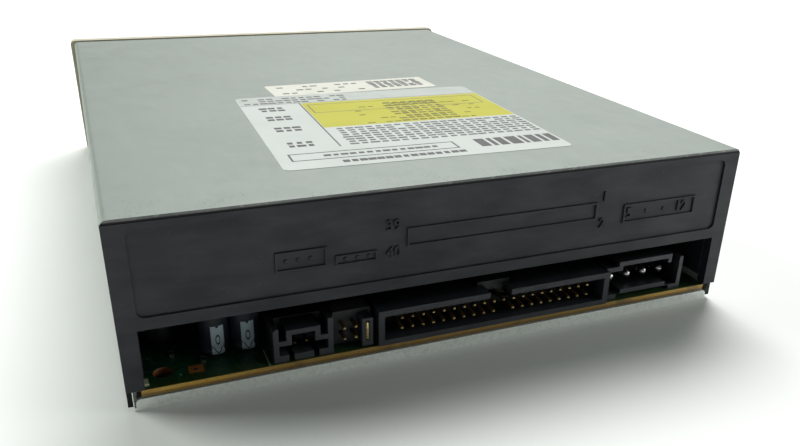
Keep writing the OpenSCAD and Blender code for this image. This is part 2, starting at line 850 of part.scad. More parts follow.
module case_screws() {
    color("#9a9c9e") both_sides() for (d = case_post_ds) {
        post(case_post_x, d, [0, pan_t], screw_head_r, screw_r - fit);
        post(case_post_x, d, [0, screw_len], screw_r - fit);
    }
}

// Front

module bezel_outline(inset) {
    round_rect([inset - half_w - bezel_side_over, half_w + bezel_side_over - inset],
        [inset, case_h + bezel_top_over - inset], bezel_corner_r);
}

module front_bezel() {
    color("#d8cfb4") {
        difference() {
            hull() {
                across([case_d, face_d - bezel_chamfer]) bezel_outline(0);
                across([face_d - bezel_chamfer, face_d]) bezel_outline(bezel_chamfer);
            }
            block([bezel_rim - half_w - bezel_side_over, half_w + bezel_side_over - bezel_rim],
                [case_d - cut, bezel_pocket_d], [bezel_rim / 2, case_h - bezel_rim / 2]);
            block([-slot_w / 2, slot_w / 2], [case_d - cut, face_d + cut], [slot_z0, slot_z0 + slot_h]);
            for (x = [play_x, eject_x])
                block([x - button_w / 2 - door_gap, x + button_w / 2 + door_gap], [case_d, face_d + cut],
                    [control_z - button_h / 2 - door_gap, control_z + button_h / 2 + door_gap]);
            block([volume_x - wheel_slot_half, volume_x + wheel_slot_half], [case_d, face_d + cut],
                [wheel_z[0] - clear, wheel_z[1] + clear]);
            block([led_x - lens_half_w - fit, led_x + lens_half_w + fit], [case_d, face_d + cut],
                [control_z - lens_half_h - fit, control_z + lens_half_h + fit]);
            rod_y(jack_x, [case_d, face_d + cut], control_z, jack_barrel_r + jack_gap);
            rod_y(eject_hole_x, [case_d, face_d + cut], control_z, eject_hole_r);
        }
        // Snap arms that reach into the frame walls
        both_sides() {
            block([wall_in - clip_t - clear, wall_in - clear], [case_d - clip_reach, bezel_pocket_d + fit],
                [clip_z0, clip_z0 + clip_w]);
            block([wall_in - clear - fit, wall_in + clip_hook],
                [case_d - clip_reach + clear, case_d - clip_reach + clear + clip_hook_l],
                [clip_z0, clip_z0 + clip_w]);
        }
    }
}

module tray_door() {
    color("#d8cfb4") {
        hull() {
            across([face_d - door_t, face_d - door_chamfer])
                round_rect([-door_half, door_half], door_z, door_chamfer);
            across([face_d - door_chamfer, face_d])
                round_rect([door_chamfer - door_half, door_half - door_chamfer],
                    [door_z[0] + door_chamfer, door_z[1] - door_chamfer], door_chamfer);
        }
        both_sides() block(door_lug_x, [tray_d[1], face_d - door_t + fit], [floor_z, tray_top_z]);
    }
}

module push_button(x) {
    color("#d8cfb4") {
        block([x - button_w / 2, x + button_w / 2], [button_back_d, face_d + knob_out],
            [control_z - button_h / 2, control_z + button_h / 2]);
        block([x - button_w / 2 - button_flange, x + button_w / 2 + button_flange],
            [bezel_pocket_d - clear / 2 - button_flange_t, bezel_pocket_d - clear / 2],
            [control_z - button_h / 2 - button_flange, control_z + button_h / 2 + button_flange]);
        rod_y(x, [button_stem_d, button_back_d + fit], control_z, button_stem_r);
    }
}

module eject_button() {
    push_button(eject_x);
}

module play_button() {
    push_button(play_x);
}

module volume_wheel() {
    color("#3a3a3c") difference() {
        translate([volume_x, rear_y - wheel_d, wheel_z[0]]) linear_extrude(wheel_t)
            polygon([for (i = [0 : wheel_ribs - 1], k = [0 : 3])
                let (a = (i + k / 4) * 360 / wheel_ribs, r = k < 2 ? wheel_r : wheel_r - wheel_rib_deep)
                [r * cos(a), r * sin(a)]]);
        post(volume_x, wheel_d, [wheel_z[0] - cut, wheel_z[1] + cut], wheel_pin_r + run);
    }
}

module volume_control() {
    color("#8c8e90") {
        block([volume_x - pot_half, volume_x + pot_half], [wheel_d - 2 * pot_half, wheel_d - fit],
            [board_top, wheel_z[0] - clear]);
        post(volume_x, wheel_d, [board_top, wheel_z[0] - clear], pot_half);
        post(volume_x, wheel_d, [board_top, wheel_z[1]], wheel_pin_r);
    }
}

module headphone_jack() {
    color("#1c1c1e") difference() {
        union() {
            block([jack_x - jack_half, jack_x + jack_half], jack_body_d, [board_top, jack_top_z]);
            rod_y(jack_x, [jack_body_d[1] - fit, face_d - clear], control_z, jack_barrel_r);
        }
        rod_y(jack_x, [face_d - clear - jack_deep, face_d], control_z, jack_bore_r);
    }
}

module indicator_led() {
    color("#59b04a") {
        block([led_x - led_half, led_x + led_half], led_d, [board_top, control_z]);
        rod_y(led_x, led_d, control_z, led_half);
        rod_y(led_x, [led_d[1] - fit, led_d[1] + led_half], control_z, lens_half_h);
    }
}

module indicator_lens() {
    color("#5d8f55")
        block([led_x - lens_half_w, led_x + lens_half_w], [led_d[1] + led_half + clear, face_d - fit],
            [control_z - lens_half_h, control_z + lens_half_h]);
}

module front_switches() {
    color("#6c6c70") for (x = [play_x, eject_x]) {
        block([x - switch_half, x + switch_half], switch_d, [board_top, switch_top_z]);
        rod_y(x, [switch_d[1] - fit, button_stem_d - button_travel - fit], control_z, plunger_r);
    }
}

// Boards

module main_board() {
    color("#0e4a2c") difference() {
        block([-board_half, board_half], [board_d0, board_d1], [board_z, board_top]);
        both_sides()
            post(case_post_x, case_post_ds[0], [board_z - cut, board_top + cut], case_post_r + 2 * clear);
        post(locating_hole[0], locating_hole[1], [board_z - cut, board_top + cut], locating_r);
        for (p = board_screw_xd) post(p[0], p[1], [board_z - cut, board_top + cut], screw_r + fit);
    }
}

module front_board() {
    color("#0e4a2c")
        block([-front_board_half, front_board_half], front_board_d, [board_z, board_top]);
}

module board_screws() {
    color("#a8aaac") for (p = board_screw_xd) {
        post(p[0], p[1], [pan_t + fit, board_top], screw_r);
        post(p[0], p[1], [board_top, board_top + damper_head_t], screw_head_r);
    }
}

module ide_shell() {
    color("#33353a") difference() {
        union() {
            block([ide_x - ide_half, ide_x + ide_half], ide_d, [board_top, ide_z1]);
            block([ide_x - key_half - ide_wall, ide_x + key_half + ide_wall], [key_deep, key_back_d],
                [ide_z1, ide_z1 + key_rise]);
        }
        block([ide_x - ide_half + ide_wall, ide_x + ide_half - ide_wall],
            [ide_d[0] - cut, ide_d[0] + ide_deep],
            [board_top + ide_floor_t, ide_z1 - ide_wall]);
        block([ide_x - key_half, ide_x + key_half], [ide_d[0] - cut, key_deep],
            [ide_z1 - ide_wall - cut, ide_z1 + cut]);
        for (c = [0 : data_cols - 1], r = [0, 1]) if (r == 1 || c != missing_pin)
            square_hole(ide_x + (data_cols / 2 - 0.5 - c) * pin_pitch, data_row_z[r],
                [ide_d[0] + ide_deep - cut, ide_d[1] + cut]);
    }
}

module square_hole(x, z, d) {
    block([x - pin_w / 2, x + pin_w / 2], d, [z - pin_w / 2, z + pin_w / 2]);
}

// Square pin that runs back from its tip and turns down to the board
module angle_pin(x, z, tip_d, tail_d) {
    block([x - pin_w / 2, x + pin_w / 2], [tip_d, tail_d], [z - pin_w / 2, z + pin_w / 2]);
    block([x - pin_w / 2, x + pin_w / 2], [tail_d - pin_w, tail_d], [board_top, z]);
}

module ide_pins() {
    color("#cfae5e") for (c = [0 : data_cols - 1], r = [0, 1]) if (r == 1 || c != missing_pin)
        angle_pin(ide_x + (data_cols / 2 - 0.5 - c) * pin_pitch, data_row_z[r], data_tip_d, data_tail_ds[r]);
}

// Half outline of the power shell, shoulders at the sides and a raised middle
module power_outline(inset) {
    mid = power_half - power_foot_w - inset;
    polygon([
        [-power_half + inset, board_top + inset], [-mid, board_top + inset],
        [-mid, board_top + power_step + inset], [mid, board_top + power_step + inset],
        [mid, board_top + inset], [power_half - inset, board_top + inset],
        [power_half - inset, power_shoulder_z - inset], [mid, power_shoulder_z - inset],
        [mid, power_top_z - inset], [-mid, power_top_z - inset],
        [-mid, power_shoulder_z - inset], [-power_half + inset, power_shoulder_z - inset]
    ]);
}

module power_shell() {
    color("#33353a") difference() {
        translate([power_x, 0, 0]) across(power_d) power_outline(0);
        translate([power_x, 0, 0]) across([power_d[0] - cut, power_back_d]) power_outline(power_wall);
        block([power_x - power_gap[1], power_x - power_gap[0]], [power_d[0] - cut, power_tip_d],
            [power_pin_z, power_top_z + cut]);
        for (i = [0 : 3])
            rod_y(power_x + (i - 1.5) * power_pitch, [power_back_d - cut, power_d[1] + cut],
                power_pin_z, power_pin_r);
    }
}

module power_pins() {
    color("#c4c4c0") for (i = [0 : 3]) {
        x = power_x + (i - 1.5) * power_pitch;
        round_pin(x, [power_tip_d, power_d[1] + 2 * power_pin_r], power_pin_z, power_pin_r);
        post(x, power_d[1] + power_pin_r, [board_top, power_pin_z], tail_share * power_pin_r);
    }
}

module audio_shell() {
    back_wall = audio_d[1] - audio_back_d;
    color("#33353a") translate([audio_x, 0, 0]) difference() {
        union() {
            across(audio_d) polygon([
                [-audio_half, board_top], [audio_half, board_top], [audio_half, audio_side_z - audio_wall],
                [audio_half - audio_wall / 2, audio_side_z - audio_wall / 2],
                [audio_half - audio_wall, audio_side_z - audio_wall / 2],
                [audio_half - audio_wall, audio_ledge_z], [audio_mid_half, audio_ledge_z],
                [audio_mid_half, audio_mid_z], [-audio_mid_half, audio_mid_z],
                [-audio_mid_half, audio_ledge_z],
                [audio_wall - audio_half, audio_ledge_z], [audio_wall - audio_half, audio_side_z],
                [-audio_half, audio_side_z]
            ]);
            block([audio_wall - audio_half - fit, audio_half - audio_wall + fit],
                [audio_back_d, audio_d[1]], [board_top, audio_side_z - back_wall / 2]);
        }
        across([audio_d[0] - cut, audio_back_d]) polygon([
            [audio_wall - audio_half, board_top + audio_floor_t],
            [audio_half - audio_wall, board_top + audio_floor_t],
            [audio_half - audio_wall, audio_ledge_z - audio_wall],
            [audio_mid_half - audio_wall, audio_ledge_z - audio_wall],
            [audio_mid_half - audio_wall, audio_mid_z - audio_wall],
            [audio_wall - audio_mid_half, audio_mid_z - audio_wall],
            [audio_wall - audio_mid_half, audio_ledge_z - audio_wall],
            [audio_wall - audio_half, audio_ledge_z - audio_wall]
        ]);
        for (s = [-1, 1])
            block([s * audio_slot_x - audio_slot_half, s * audio_slot_x + audio_slot_half],
                [audio_d[0] - cut, audio_back_d], [board_top - cut, board_top + audio_floor_t + cut]);
        for (i = [0 : 3])
            square_hole((i - 1.5) * pin_pitch, audio_pin_z, [audio_back_d - cut, audio_d[1] + cut]);
    }
}

module audio_pins() {
    color("#cfae5e") for (i = [0 : 3])
        angle_pin(audio_x + (i - 1.5) * pin_pitch, audio_pin_z, audio_tip_d, audio_d[1] + 2 * pin_w);
}

module jumper_header() {
    color("#33353a") difference() {
        block([jumper_x - jumper_half, jumper_x + jumper_half], jumper_body_d, [board_top, jumper_top_z]);
        for (c = [-1 : 1], z = jumper_row_z)
            square_hole(jumper_x + c * pin_pitch, z, [jumper_body_d[0] - cut, jumper_body_d[1] + cut]);
    }
}

module jumper_pins() {
    color("#cfae5e") for (c = [-1 : 1], r = [0, 1])
        angle_pin(jumper_x + c * pin_pitch, jumper_row_z[r],
            jumper_tip_d, jumper_body_d[1] + (r + 1) * 2 * pin_w);
}

module jumper_cap() {
    x = jumper_x - pin_pitch;
    color("#3c3e42") difference() {
        block([x - cap_half_w, x + cap_half_w], cap_d, cap_z);
        for (z = jumper_row_z) square_hole(x, z, [cap_d[0] - cut, cap_d[1] + cut]);
        block([x - cap_slot_half, x + cap_slot_half], [cap_d[0] - cut, cap_d[0] + cap_half_w],
            [cap_z[0] + cap_half_w, cap_z[1] - cap_half_w / 2]);
    }
}

module capacitor_cans() {
    color("#2a2c30") for (x = can_xs) difference() {
        post(x, can_d, [board_top + can_gap, board_top + can_gap + can_h], can_r);
        difference() {
            post(x, can_d, [board_top + can_gap + seal_h, board_top + can_gap + seal_h + 2 * can_groove],
                can_r + cut);
            post(x, can_d, [board_top, board_top + can_h], can_r - can_groove);
        }
        post(x, can_d, [board_top + can_gap + can_h - can_groove, board_top + can_gap + can_h + cut],
            can_r - 2 * can_groove);
        post(x, can_d, [board_top, board_top + can_gap + can_groove], can_r - can_groove);
    }
}

module capacitor_seals() {
    color("#18181a") for (x = can_xs)
        post(x, can_d, [board_top, board_top + can_gap + can_groove], can_r - can_groove - fit);
}

// Flat package with a row of legs along two opposite sides, and along all four when it is square
module chip(x, d, hx, hd) {
    block([x - hx, x + hx], [d - hd, d + hd], [board_top + leg_t / 2, board_top + chip_t]);
    legs_d = floor(2 * (hd - leg_out) / leg_pitch);
    legs_x = floor(2 * (hx - leg_out) / leg_pitch);
    for (s = [-1, 1], i = [0 : legs_d - 1]) {
        y = d + (i - (legs_d - 1) / 2) * leg_pitch;
        block([min(s * hx, s * (hx + leg_out)) + x, max(s * hx, s * (hx + leg_out)) + x],
            [y - leg_t, y + leg_t], [board_top, board_top + leg_z]);
    }
    if (hx == hd) for (s = [-1, 1], i = [0 : legs_x - 1]) {
        cx = x + (i - (legs_x - 1) / 2) * leg_pitch;
        block([cx - leg_t, cx + leg_t],
            [min(s * hd, s * (hd + leg_out)) + d, max(s * hd, s * (hd + leg_out)) + d],
            [board_top, board_top + leg_z]);
    }
}

module board_chips() {
    color("#202124") for (c = chip_sides) chip(c[0], c[1], c[2], c[3]);
}

module board_crystal() {
    color("#bfc1c2") {
        block([crystal_xd[0] - crystal_half, crystal_xd[0] + crystal_half],
            [crystal_xd[1] - crystal_r, crystal_xd[1] + crystal_r], [board_top, board_top + crystal_h / 2]);
        for (s = [-1, 1])
            post(crystal_xd[0] + s * crystal_half, crystal_xd[1],
                [board_top, board_top + crystal_h / 2], crystal_r);
    }
}

module ribbon_sockets() {
    color("#e4e0d2") for (d = [ribbon_d[0] - socket_deep, ribbon_d[1]])
        block([ribbon_x - ribbon_half - socket_over, ribbon_x + ribbon_half + socket_over],
            [d, d + socket_deep], [board_top, board_top + socket_h]);
}

module front_ribbon() {
    color("#d9dadb")
        block([ribbon_x - ribbon_half, ribbon_x + ribbon_half], ribbon_d,
            [board_top + ribbon_rise, board_top + ribbon_rise + ribbon_t]);
}

// Tray

module disc_tray() {
    color("#3a3b3e") difference() {
        union() {
            block([-tray_half, tray_half], tray_d, [tray_top_z - tray_wall, tray_top_z]);
            post(0, disc_d, [floor_z, tray_top_z], recess_r + tray_wall);
            block([-tray_half, tray_half], [tray_d[1] - tray_wall, tray_d[1]], [skirt_z, tray_top_z]);
            block([-tray_half, tray_half], [tray_d[0], tray_d[0] + tray_wall], [floor_z, tray_top_z]);
            both_sides() {
                block([tray_half - tray_wall, tray_half], tray_d, [skirt_z, tray_top_z]);
                block([tray_half - fit, tray_half + rail_out], tray_d, rail_z);
                block([tray_slot_half, tray_slot_half + tray_wall], [tray_d[0], disc_d],
                    [floor_z, tray_top_z]);
            }
            tray_rack();
        }
        post(0, disc_d, [recess_z, tray_top_z + cut], recess_r);
        post(0, disc_d, [recess_z - small_recess_deep, recess_z + cut], small_recess_r);
        post(0, disc_d + recess_r - finger_back, [recess_z, tray_top_z + cut], finger_r);
        block([-tray_slot_half, tray_slot_half], [tray_d[0] - cut, disc_d],
            [skirt_z - cut, tray_top_z + cut]);
        post(0, disc_d, [skirt_z - cut, tray_top_z + cut], tray_slot_half);
    }
}

module tray_rack() {
    rack(rack_x, rack_first_d, rack_count, [rack_z, floor_z + tray_wall / 2],
        load_mod, load_backlash, rack_back);
    block([rack_x + root_share * load_mod, rack_x + rack_back], tray_d,
        [floor_z - tray_wall / 2, tray_top_z - tray_wall / 2]);
}

// Loading drive

module loading_motor() {
    color("#a9acae") difference() {
        union() {
            post(motor_x, gear_d, motor_z, motor_can_r);
            post(motor_x, gear_d, [motor_z[1] - fit, floor_plate_z[1] - fit], motor_boss_r);
        }
        post(motor_x, gear_d, [shaft_z - clear, floor_plate_z[1] + cut], shaft_r + run);
    }
}

module motor_pulley() {
    color("#e8e4d8") {
        pulley(motor_x, gear_d, pulley_z, motor_pulley_r);
        post(motor_x, gear_d, [shaft_z, pulley_z[1] + flange_t], shaft_r);
    }
}

module belt_outline(out) {
    reach = pulley_x - motor_x;
    a = acos((pulley_r - motor_pulley_r) / reach);
    big = pulley_r + out;
    small = motor_pulley_r + out;
    translate([pulley_x, 0]) circle(big);
    translate([motor_x, 0]) circle(small);
    flat_big = big - belt_ease;
    flat_small = small - belt_ease;
    polygon([
        [pulley_x - flat_big * cos(a), flat_big * sin(a)],
        [motor_x - flat_small * cos(a), flat_small * sin(a)],
        [motor_x - flat_small * cos(a), -flat_small * sin(a)],
        [pulley_x - flat_big * cos(a), -flat_big * sin(a)]
    ]);
}

module drive_belt() {
    mid = (pulley_z[0] + pulley_z[1]) / 2;
    color("#151515") translate([0, rear_y - gear_d, mid - belt_w / 2]) linear_extrude(belt_w) difference() {
        belt_outline(run + belt_w);
        belt_outline(run);
    }
}

module pulley_gear() {
    color("#ece8dc") difference() {
        union() {
            pulley(pulley_x, gear_d, pulley_z, pulley_r);
            post(pulley_x, gear_d, [pulley_z[1] - fit, gear_z[0]], gear_hub_r);
            gear(pulley_x, gear_d, gear_z, pulley_teeth, load_mod, load_backlash, 180 / pulley_teeth);
        }
        post(pulley_x, gear_d, [pulley_z[0] - cut, gear_z[1] + cut], gear_pin_r + run);
    }
}

module tray_gear() {
    color("#ece8dc") difference() {
        union() {
            gear(tray_gear_x, gear_d, gear_z, tray_teeth, load_mod, load_backlash);
            post(tray_gear_x, gear_d, [pulley_z[0], gear_z[0] + fit], gear_hub_r);
        }
        post(tray_gear_x, gear_d, [pulley_z[0] - cut, gear_z[1] + cut], gear_pin_r + run);
        difference() {
            post(tray_gear_x, gear_d, [(gear_z[0] + gear_z[1]) / 2, gear_z[1] + cut], gear_web_r[1]);
            post(tray_gear_x, gear_d, [gear_z[0], gear_z[1] + 2 * cut], gear_web_r[0]);
        }
    }
}

module cam_slider() {
    slot_r = lift_pin_r + slot_clear;
    slope = atan(lift_fall / cam_travel);
    slot_len = norm([lift_fall, cam_travel]);
    color("#e6e1d2") difference() {
        union() {
            block(cam_x, cam_d, cam_z);
            block(cam_x, cam_foot_d, [cam_z[0], cam_foot_z]);
            block(cam_x, [cam_d[1] - fit, cam_d[1] + cam_rib], [cam_z[1] - cam_rib, cam_z[1]]);
            block(cam_x, [cam_d[1] - fit, cam_d[1] + cam_rib], cam_rack_z);
            for (i = [0 : cam_rack_teeth - 1])
                block([cam_x[0] + (i + 0.25) * rack_pitch, cam_x[0] + (i + 0.75) * rack_pitch],
                    [cam_d[1], cam_d[1] + cam_rack_out], cam_rack_z);
        }
        for (p = [[0, pivot_z], [-cam_travel, pivot_z - lift_fall]])
            rod_y(p[0], [cam_d[0] - cut, cam_d[1] + cam_rack_out + cut], p[1], slot_r);
        translate([0, rear_y - cam_d[1] - cam_rack_out - cut, pivot_z]) rotate([0, -slope, 0])
            translate([-slot_len, 0, -slot_r])
                cube([slot_len, cam_d[1] - cam_d[0] + cam_rack_out + 2 * cut, 2 * slot_r]);
    }
}

// Deck

module deck_frame() {
    color("#2f3033") difference() {
        union() {
            difference() {
                block([-ring_half, ring_half], ring_d, ring_z);
                block([-ring_in, ring_in], ring_in_d, [ring_z[0] - cut, ring_z[1] + cut]);
            }
            both_sides() {
                rod_x([pivot_x[0] - wall_t, pivot_x[1]], pivot_d, pivot_z, pivot_r);
                for (p = damper_xd) {
                    post(p[0], p[1], [ring_z[0], lug_top], lug_r);
                    block([p[0], ring_in + fit], [p[1] - lug_r, p[1] + lug_r], [ring_z[0], lug_top]);
                }
            }
            rod_y(0, [ring_d[1] - fit, lift_pin_end], pivot_z, lift_pin_r);
        }
        both_sides() for (p = damper_xd) post(p[0], p[1], [ring_z[0] - cut, lug_top + cut], damper_screw_r);
    }
}

module traverse_plate() {
    color("#b9bcbe") difference() {
        union() {
            difference() {
                block([-plate_half, plate_half], plate_d, [plate_z, plate_top]);
                block([-window_half, window_half], window_d, [plate_z - cut, plate_top + cut]);
                post(0, disc_d, [plate_z - cut, plate_top + cut], spindle_boss_r + fit);
                both_sides() for (p = damper_xd)
                    post(p[0], p[1], [plate_z - cut, plate_top + cut], damper_neck_r + fit);
            }
            // Brackets that hold the guide rods
            both_sides() for (d = [rod_d[0], rod_d[1] - bracket_t])
                block([rod_x0 - bracket_w, rod_x0 + bracket_w], [d, d + bracket_t],
                    [rod_z - bracket_w, plate_z + fit]);
            // Pin of the sled gear
            post(sled_gear_x, sled_gear_d, [sled_gear_z[0] - clear, plate_z + fit], sled_pin_r);
        }
        both_sides() rod_y(rod_x0, [rod_d[0] - cut, rod_d[1] + cut], rod_z, rod_r);
    }
}

module damper_bushes() {
    color("#1d1f28") both_sides() for (p = damper_xd) difference() {
        union() {
            post(p[0], p[1], [lug_top, plate_z], damper_r);
            post(p[0], p[1], [lug_top, plate_top + damper_top_t], damper_neck_r);
            post(p[0], p[1], [plate_top, plate_top + damper_top_t], damper_r);
        }
        post(p[0], p[1], [lug_top - cut, plate_top + damper_top_t + cut], damper_screw_r + fit);
    }
}

module damper_screws() {
    top = plate_top + damper_top_t;
    color("#a0a2a4") both_sides() for (p = damper_xd) {
        post(p[0], p[1], [ring_z[0], top], damper_screw_r);
        post(p[0], p[1], [top, top + damper_head_t], damper_head_r);
    }
}

module guide_rods() {
    color("#d2d4d6") both_sides() rod_y(rod_x0, rod_d, rod_z, rod_r);
}

module spindle_motor() {
    color("#9fa2a4") difference() {
        union() {
            post(0, disc_d, [spindle_z, plate_z], spindle_r);
            post(0, disc_d, [plate_z - fit, spindle_boss_top], spindle_boss_r);
        }
        post(0, disc_d, [spindle_shaft_z - clear, spindle_boss_top + cut], spindle_shaft_r + run);
    }
}

module turntable() {
    color("#2c2d30") {
        post(0, disc_d, [spindle_shaft_z, seat_z], spindle_shaft_r);
        post(0, disc_d, [hub_base_z, seat_z], hub_base_r);
        post(0, disc_d, [seat_z - seat_t, seat_z], turntable_r);
        post(0, disc_d, [seat_z, seat_z + cone_h / 2], hub_r);
        post(0, disc_d, [seat_z + cone_h / 2, seat_z + cone_h], hub_r, hub_base_r);
    }
}

module clamp_bridge() {
    color("#b3b6b8") difference() {
        block([-wall_in + fit, wall_in - fit], [disc_d - bridge_half_d, disc_d + bridge_half_d], bridge_z);
        post(0, disc_d, [bridge_z[0] - cut, bridge_z[1] + cut], bridge_hole_r);
    }
}

module clamp_puck() {
    color("#d9d5c8") difference() {
        union() {
            post(0, disc_d, puck_z, puck_r);
            post(0, disc_d, [puck_z[1] - fit, yoke_z], puck_neck_r);
        }
        post(0, disc_d, [puck_z[0] - cut, seat_z + cone_h + clear], puck_recess_r);
    }
}

module clamp_yoke() {
    color("#b9bcbe") post(0, disc_d, [yoke_z, yoke_z + yoke_t], yoke_r);
}

// Pickup

module pickup_sled() {
    mid_d = (sled_d[0] + sled_d[1]) / 2;
    fork_d = [mid_d - sled_fork_gap / 2, mid_d + sled_fork_gap / 2];
    color("#a7aaae") difference() {
        union() {
            block([-rod_x0 + sled_lug_w / 2, sled_half], sled_d, sled_z);
            block([-sled_half, -rod_x0 + sled_lug_w], [sled_d[0], fork_d[0]], sled_z);
            block([-sled_half, -rod_x0 + sled_lug_w], [fork_d[1], sled_d[1]], sled_z);
            rack_bar();
        }
        rod_y(-rod_x0, [sled_d[0] - cut, sled_d[1] + cut], rod_z, rod_r + run);
        rod_y(rod_x0, [sled_d[0] - cut, sled_d[1] + cut], rod_z, rod_r + run);
        block([rod_x0 - rod_r - run, rod_x0 + rod_r + run], [sled_d[0] - cut, sled_d[1] + cut],
            [sled_z[0] - cut, rod_z]);
    }
}

module rack_bar() {
    mirror([1, 0, 0]) rack(-sled_pitch_x, sled_gear_d - (sled_rack_first - 1) * sled_rack_pitch,
        sled_rack_count, sled_rack_z, sled_mod, sled_backlash, sled_pitch_x - sled_half + fit);
}

module actuator_yoke() {
    color("#7f8286") {
        block([-yoke_half_w, yoke_half_w], [yoke_ds[0], yoke_ds[1] + yoke_up_t],
            [sled_z[1], sled_z[1] + yoke_base_t]);
        for (d = yoke_ds) block([-yoke_half_w, yoke_half_w], [d, d + yoke_up_t], [sled_z[1], yoke_top_z]);
    }
}

module lens_holder() {
    color("#1f2022") difference() {
        block([-holder_half_w, holder_half_w], holder_d, holder_z);
        post(0, lens_d, [holder_z[0] - cut, holder_z[1] + cut], lens_r / 2);
    }
}

module objective_lens() {
    color("#7f9fd0") post(0, lens_d, [holder_z[1], holder_z[1] + lens_h], lens_r);
}

module sled_motor() {
    color("#a9acae") difference() {
        post(pinion_x, pinion_d, [sled_motor_z, plate_z], sled_motor_r);
        post(pinion_x, pinion_d, [sled_motor_z - cut, plate_z - plate_t], sled_shaft_r + run);
    }
}

module sled_pinion() {
    color("#ece8dc") {
        gear(pinion_x, pinion_d, sled_gear_z, pinion_teeth, sled_mod, sled_backlash, pinion_phase);
        post(pinion_x, pinion_d, [sled_gear_z[0], plate_z - plate_t - clear], sled_shaft_r);
    }
}

module sled_gear() {
    color("#ece8dc") difference() {
        union() {
            gear(sled_gear_x, sled_gear_d, sled_gear_z, sled_teeth, sled_mod, sled_backlash);
            gear(sled_gear_x, sled_gear_d, [step_z[0] - fit, step_z[1]], step_teeth, sled_mod, sled_backlash);
        }
        post(sled_gear_x, sled_gear_d, [sled_gear_z[0] - cut, step_z[1] + cut], sled_pin_r + run);
    }
}

top_cover();
bottom_cover();
main_frame();
front_bezel();
case_screws();
main_board();
board_screws();
ide_shell();
ide_pins();
power_shell();
power_pins();
audio_shell();
audio_pins();
jumper_header();
jumper_pins();
jumper_cap();
capacitor_cans();
capacitor_seals();
board_chips();
board_crystal();
ribbon_sockets();
front_ribbon();
front_board();
front_switches();
volume_control();
headphone_jack();
indicator_led();
indicator_lens();
eject_button();
play_button();
volume_wheel();
disc_tray();
tray_door();
loading_motor();
motor_pulley();
drive_belt();
pulley_gear();
tray_gear();
cam_slider();
deck_frame();
traverse_plate();
damper_bushes();
damper_screws();
guide_rods();
spindle_motor();
turntable();
clamp_bridge();
clamp_puck();
clamp_yoke();
pickup_sled();
actuator_yoke();
lens_holder();
objective_lens();
sled_motor();
sled_pinion();
sled_gear();
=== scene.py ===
import json
import math

import bmesh
import bpy
from mathutils import Matrix, Vector


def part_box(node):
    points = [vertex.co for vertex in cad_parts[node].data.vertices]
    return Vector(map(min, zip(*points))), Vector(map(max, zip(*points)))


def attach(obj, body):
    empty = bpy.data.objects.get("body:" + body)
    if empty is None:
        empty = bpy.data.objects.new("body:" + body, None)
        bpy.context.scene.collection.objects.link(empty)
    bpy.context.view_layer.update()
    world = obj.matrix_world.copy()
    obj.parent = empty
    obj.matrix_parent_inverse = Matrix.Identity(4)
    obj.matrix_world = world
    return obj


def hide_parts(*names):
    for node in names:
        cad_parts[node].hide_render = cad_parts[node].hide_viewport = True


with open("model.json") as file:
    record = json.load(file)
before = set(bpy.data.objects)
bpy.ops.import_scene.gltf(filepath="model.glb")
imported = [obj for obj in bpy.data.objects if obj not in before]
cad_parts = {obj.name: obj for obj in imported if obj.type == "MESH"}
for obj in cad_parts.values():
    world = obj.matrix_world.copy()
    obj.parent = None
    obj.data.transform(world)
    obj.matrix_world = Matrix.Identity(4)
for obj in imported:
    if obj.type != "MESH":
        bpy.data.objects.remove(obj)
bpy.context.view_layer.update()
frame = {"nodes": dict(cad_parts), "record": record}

nodes = frame["nodes"]
slot_of = {part["node"]: part["material_slot"] for part in frame["record"]["subparts"]}
body_of = {n: body for body, members in frame["record"]["behaviour"]["bodies"].items() for n in members}

# Sizes in millimetres, and the length of one in the scene's metres
MM = 0.001
half_w = 73
rear_y = 99.8
cover_top = 41.3
board_top = 4.65
field_deep = 0.5
pin_pitch = 2.54
pin_wide = 0.64
can_r = 3.15
sleeve_span = 12.0


def spot(u, d, z):
    """A place in metres: u in from the case's audio side, d in from its rear face, z up, in millimetres."""
    return Vector((half_w - u, rear_y - d, z)) * MM


def place(x, d, z):
    """A place in metres: x from the case's middle, d in from its rear face, z up, in millimetres."""
    return Vector((x, rear_y - d, z)) * MM


# How a tree of nodes is laid out
class NodeTree:
    """A tree being laid out: a material's nodes, or those of a Geometry Nodes pattern."""

    def wire(self, node, values):
        """Sets a node's inputs, each to a value or to what another node gives."""
        for name, value in values.items():
            if isinstance(value, bpy.types.NodeSocket):
                self.tree.links.new(value, node.inputs[name])
            else:
                node.inputs[name].default_value = value

    def add(self, kind, values=None, **settings):
        """Adds a node of that kind, with its settings made before its inputs are wired."""
        node = self.tree.nodes.new(kind)
        for name, value in settings.items():
            setattr(node, name, value)
        self.wire(node, values or {})
        return node

    def reckon(self, operation, a, b=0.0):
        """What that operation makes of one or two numbers."""
        return self.add("ShaderNodeMath", {0: a, 1: b}, operation=operation).outputs[0]


